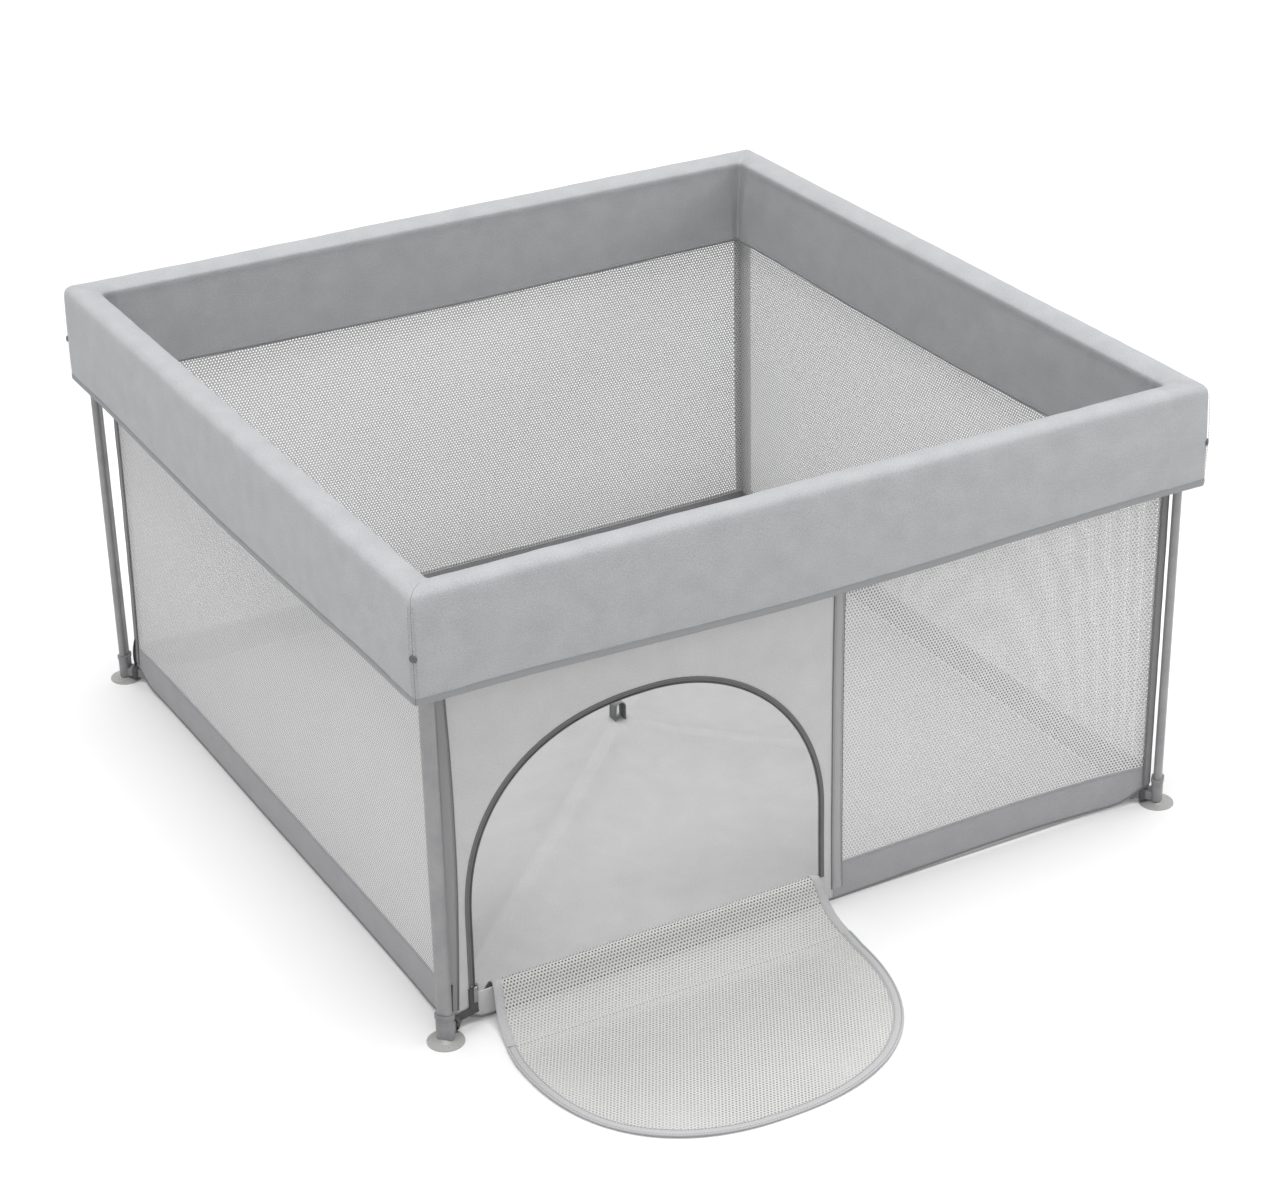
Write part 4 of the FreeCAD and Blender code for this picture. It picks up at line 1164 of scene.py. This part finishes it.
def door_flap():
    """The door's mesh flap, lying on the ground, with its binding."""
    start, start_z = drape_route()[-1]

    def spot(y, u):
        middle, half = flap_span(y)
        return middle + max(half - 0.006, 0.0) * u

    def flap_place(y, u):
        x = spot(y, u)
        join = math.exp(-((start - y) / 0.02) ** 2)
        return Vector((x, y, flap_lift(x, y) * (1 - join) + start_z * join))

    depths = flap_rows(start)
    flap = grid("flap_net", depths, spread(-1.0, 1.0, 60), flap_place, lambda y, u: (spot(y, u), y),
                UP, MESH)
    gather_wall(dress(flap, FLAP_NET_SHADED, "door"))
    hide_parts("door_flap")
    pieces = []
    for label, inset, lift, profile in (("binding", 0.0065, 0.0002, HEM_PROFILE),
                                        ("piping", 0.0004, 0.0010, cord_profile(0.0015))):
        line = flap_line(inset, start, lift)
        piece = sweep(f"flap_{label}", line, [UP] * len(line), profile)
        pieces.append(dress(piece, FLAP_BINDING, "door"))
    lines = [flap_line(inset, start, 0.0016, 2) for inset in (0.0024, 0.0110)]
    thread = stitches("flap_stitches", [(line, [UP] * len(line)) for line in lines])
    pieces.append(dress(thread, THREAD, "door"))
    for piece in pieces:
        gather_wall(piece)
    area = sum((flap_span(a)[1] + flap_span(b)[1] - 0.012) * (a - b)
               for a, b in zip(depths, depths[1:]))


def drape_route():
    """Side view (y, z) of the flap's mesh from the sill's inner side over its crest to the ground."""
    crest = SILL_Z + 0.0035
    return smooth_route([
        (-WALL_AT + 0.034, 0.012), (-WALL_AT + 0.022, 0.030), (-WALL_AT + 0.010, crest - 0.003),
        (-WALL_AT + 0.000, crest), (-WALL_AT - 0.008, crest - 0.006), (-WALL_AT - 0.018, 0.029),
        (-WALL_AT - 0.030, 0.017), (-WALL_AT - 0.045, 0.009), (-WALL_AT - 0.062, 0.0050),
        (-WALL_AT - 0.080, 0.0034)], 40)


def drape_strip(name, curve, body):
    """A strip of the flap's mesh along part of the drape's route, with its two bindings."""
    runs = run_along(curve)
    end_y = drape_route()[-1][0]

    def place(i, u):
        y, z = curve[i]
        middle, half = flap_span(y)
        wave = 0.0007 * ripple((u * half, y, 0), 0.06, 8.0) * min((FLAP_CREST - y + 0.034) / 0.03, 1.0)
        wave *= min((y - end_y) / 0.015, 1.0)
        return Vector((middle + (half - 0.006) * u, y - wave, z + wave))

    strip = grid(name, range(len(curve)), spread(-1.0, 1.0, 60), place,
                 lambda i, u: (place(i, u).x, -runs[i]), Vector((0, -1, 1)), MESH)
    gather_wall(dress(strip, FLAP_NET_SHADED, body))
    for label, sign in (("left", -1), ("right", 1)):
        line = []
        outs = []
        for i, (y, z) in enumerate(curve):
            middle, half = flap_span(y)
            a, b = curve[max(i - 1, 0)], curve[min(i + 1, len(curve) - 1)]
            line.append(Vector((middle + sign * (half - 0.0065), y, z + 0.0002)))
            outs.append(Vector((0, b[1] - a[1], a[0] - b[0])).normalized())
        piece = sweep(f"{name}_binding_{label}", line, outs, HEM_PROFILE)
        gather_wall(dress(piece, FLAP_BINDING, body))


def flap_drape():
    """The flap's mesh over the sill: its outer side turns with the door, its inner side stays."""
    curve = drape_route()
    crest = max(range(len(curve)), key=lambda i: curve[i][1])
    drape_strip("sill_lining", curve[:crest + 1], "post_front_left")
    drape_strip("flap_drape", curve[crest:], "door")


# Carried-over parts


NODE_MATERIALS = [
    ("post_tube", POST_PAINT), ("foot_bracket", FOOT_PLASTIC), ("suction_foot", CUP_PLASTIC),
    ("corner_bracket", DARK_PLASTIC), ("arm", RAIL_PAINT), ("rail", RAIL_PAINT), ("hub_body", DARK_PLASTIC),
    ("hub_pins", PIN_STEEL), ("latch_button", BUTTON_PLASTIC), ("zip_slider", PIN_STEEL),
    ("zip_pull", PIN_STEEL),
]


def dress_frame():
    for name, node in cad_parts.items():
        for start, material in NODE_MATERIALS:
            if name.startswith(start):
                node.data.materials.clear()
                node.data.materials.append(material)
                soften(node, 35)


# Stage, light and camera


GROUND = 60.0  # half the ground's width
AZIMUTH = math.radians(-28.94)
ELEVATION = math.radians(27.03)
ROLL = math.radians(-1.22)
TARGET = Vector((0.25292, 0.38114, 0.0))
DISTANCE = 4.9187


def hang_lamp(name, light):
    lamp = bpy.data.objects.new(name, light)
    bpy.context.scene.collection.objects.link(lamp)
    return lamp


def make_stage():
    mesh = bpy.data.meshes.new("ground")
    corners = [(x * GROUND, y * GROUND, 0) for x, y in ((-1, -1), (1, -1), (1, 1), (-1, 1))]
    mesh.from_pydata(corners, [], [(0, 1, 2, 3)])
    ground = link("ground", mesh)
    nodes = Nodes("ground_paper")
    nodes.shade("Base Color", (0.66, 0.66, 0.66, 1.0))
    nodes.shade("Roughness", 0.9)
    nodes.shade("Specular IOR Level", 0.1)
    nodes.shade("Emission Color", (1.0, 1.0, 1.0, 1.0))
    nodes.shade("Emission Strength", 0.14)
    mesh.materials.append(nodes.material)
    world = bpy.data.worlds.new("studio")
    world.use_nodes = True
    background = world.node_tree.nodes["Background"]
    background.inputs["Color"].default_value = (1.0, 1.0, 1.0, 1.0)
    background.inputs["Strength"].default_value = 0.5
    bpy.context.scene.world = world
    sun = bpy.data.lights.new("overhead", "SUN")
    sun.angle = math.radians(50)
    sun.energy = 3.3
    hang_lamp("overhead", sun)
    add_area("left", (-3.4, -0.8, 1.8), 1.6, 5.0)
    add_area("right", (2.8, -2.6, 1.9), 1.4, 24.0)


def add_area(name, place, size, watts):
    light = bpy.data.lights.new(name, "AREA")
    light.shape = "DISK"
    light.size = size
    light.energy = watts
    lamp = hang_lamp(name, light)
    lamp.location = place
    lamp.rotation_mode = "QUATERNION"
    lamp.rotation_quaternion = (Vector((0, 0, 0.3)) - Vector(place)).to_track_quat("-Z", "Y")


def make_camera():
    """The camera stands 27 degrees above the floor, to the left of the pen's front."""
    flat = math.cos(ELEVATION)
    back = Vector((math.sin(AZIMUTH) * flat, -math.cos(AZIMUTH) * flat, math.sin(ELEVATION)))
    right = UP.cross(back).normalized()
    up = back.cross(right)
    x_axis = right * math.cos(ROLL) + up * math.sin(ROLL)
    y_axis = up * math.cos(ROLL) - right * math.sin(ROLL)
    place = TARGET + back * DISTANCE
    lens = bpy.data.cameras.new("camera")
    lens.sensor_width = 36.0
    lens.lens = 83.48
    lens.clip_start = 0.1
    lens.clip_end = 60.0
    camera = bpy.data.objects.new("camera", lens)
    rows = [(x_axis[k], y_axis[k], back[k], place[k]) for k in range(3)]
    camera.matrix_world = Matrix((*rows, (0, 0, 0, 1)))
    bpy.context.scene.collection.objects.link(camera)
    bpy.context.scene.camera = camera


make_stage()
make_camera()
bpy.context.scene.view_settings.view_transform = "Standard"
bpy.context.scene.cycles.transparent_max_bounces = 24
dress_frame()
for index in range(4):
    cover_corner(index)
    cover_half(index, HALF_RAILS[index][0], -1)
    cover_half(index, HALF_RAILS[index][1], 1)
    floor_quadrant(index)
    corner_tape(index)
    if index:
        mesh_wall(index)
front_wall()
lift_loop()
door_zip()
door_flap()
flap_drape()
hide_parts("wall_front_right")
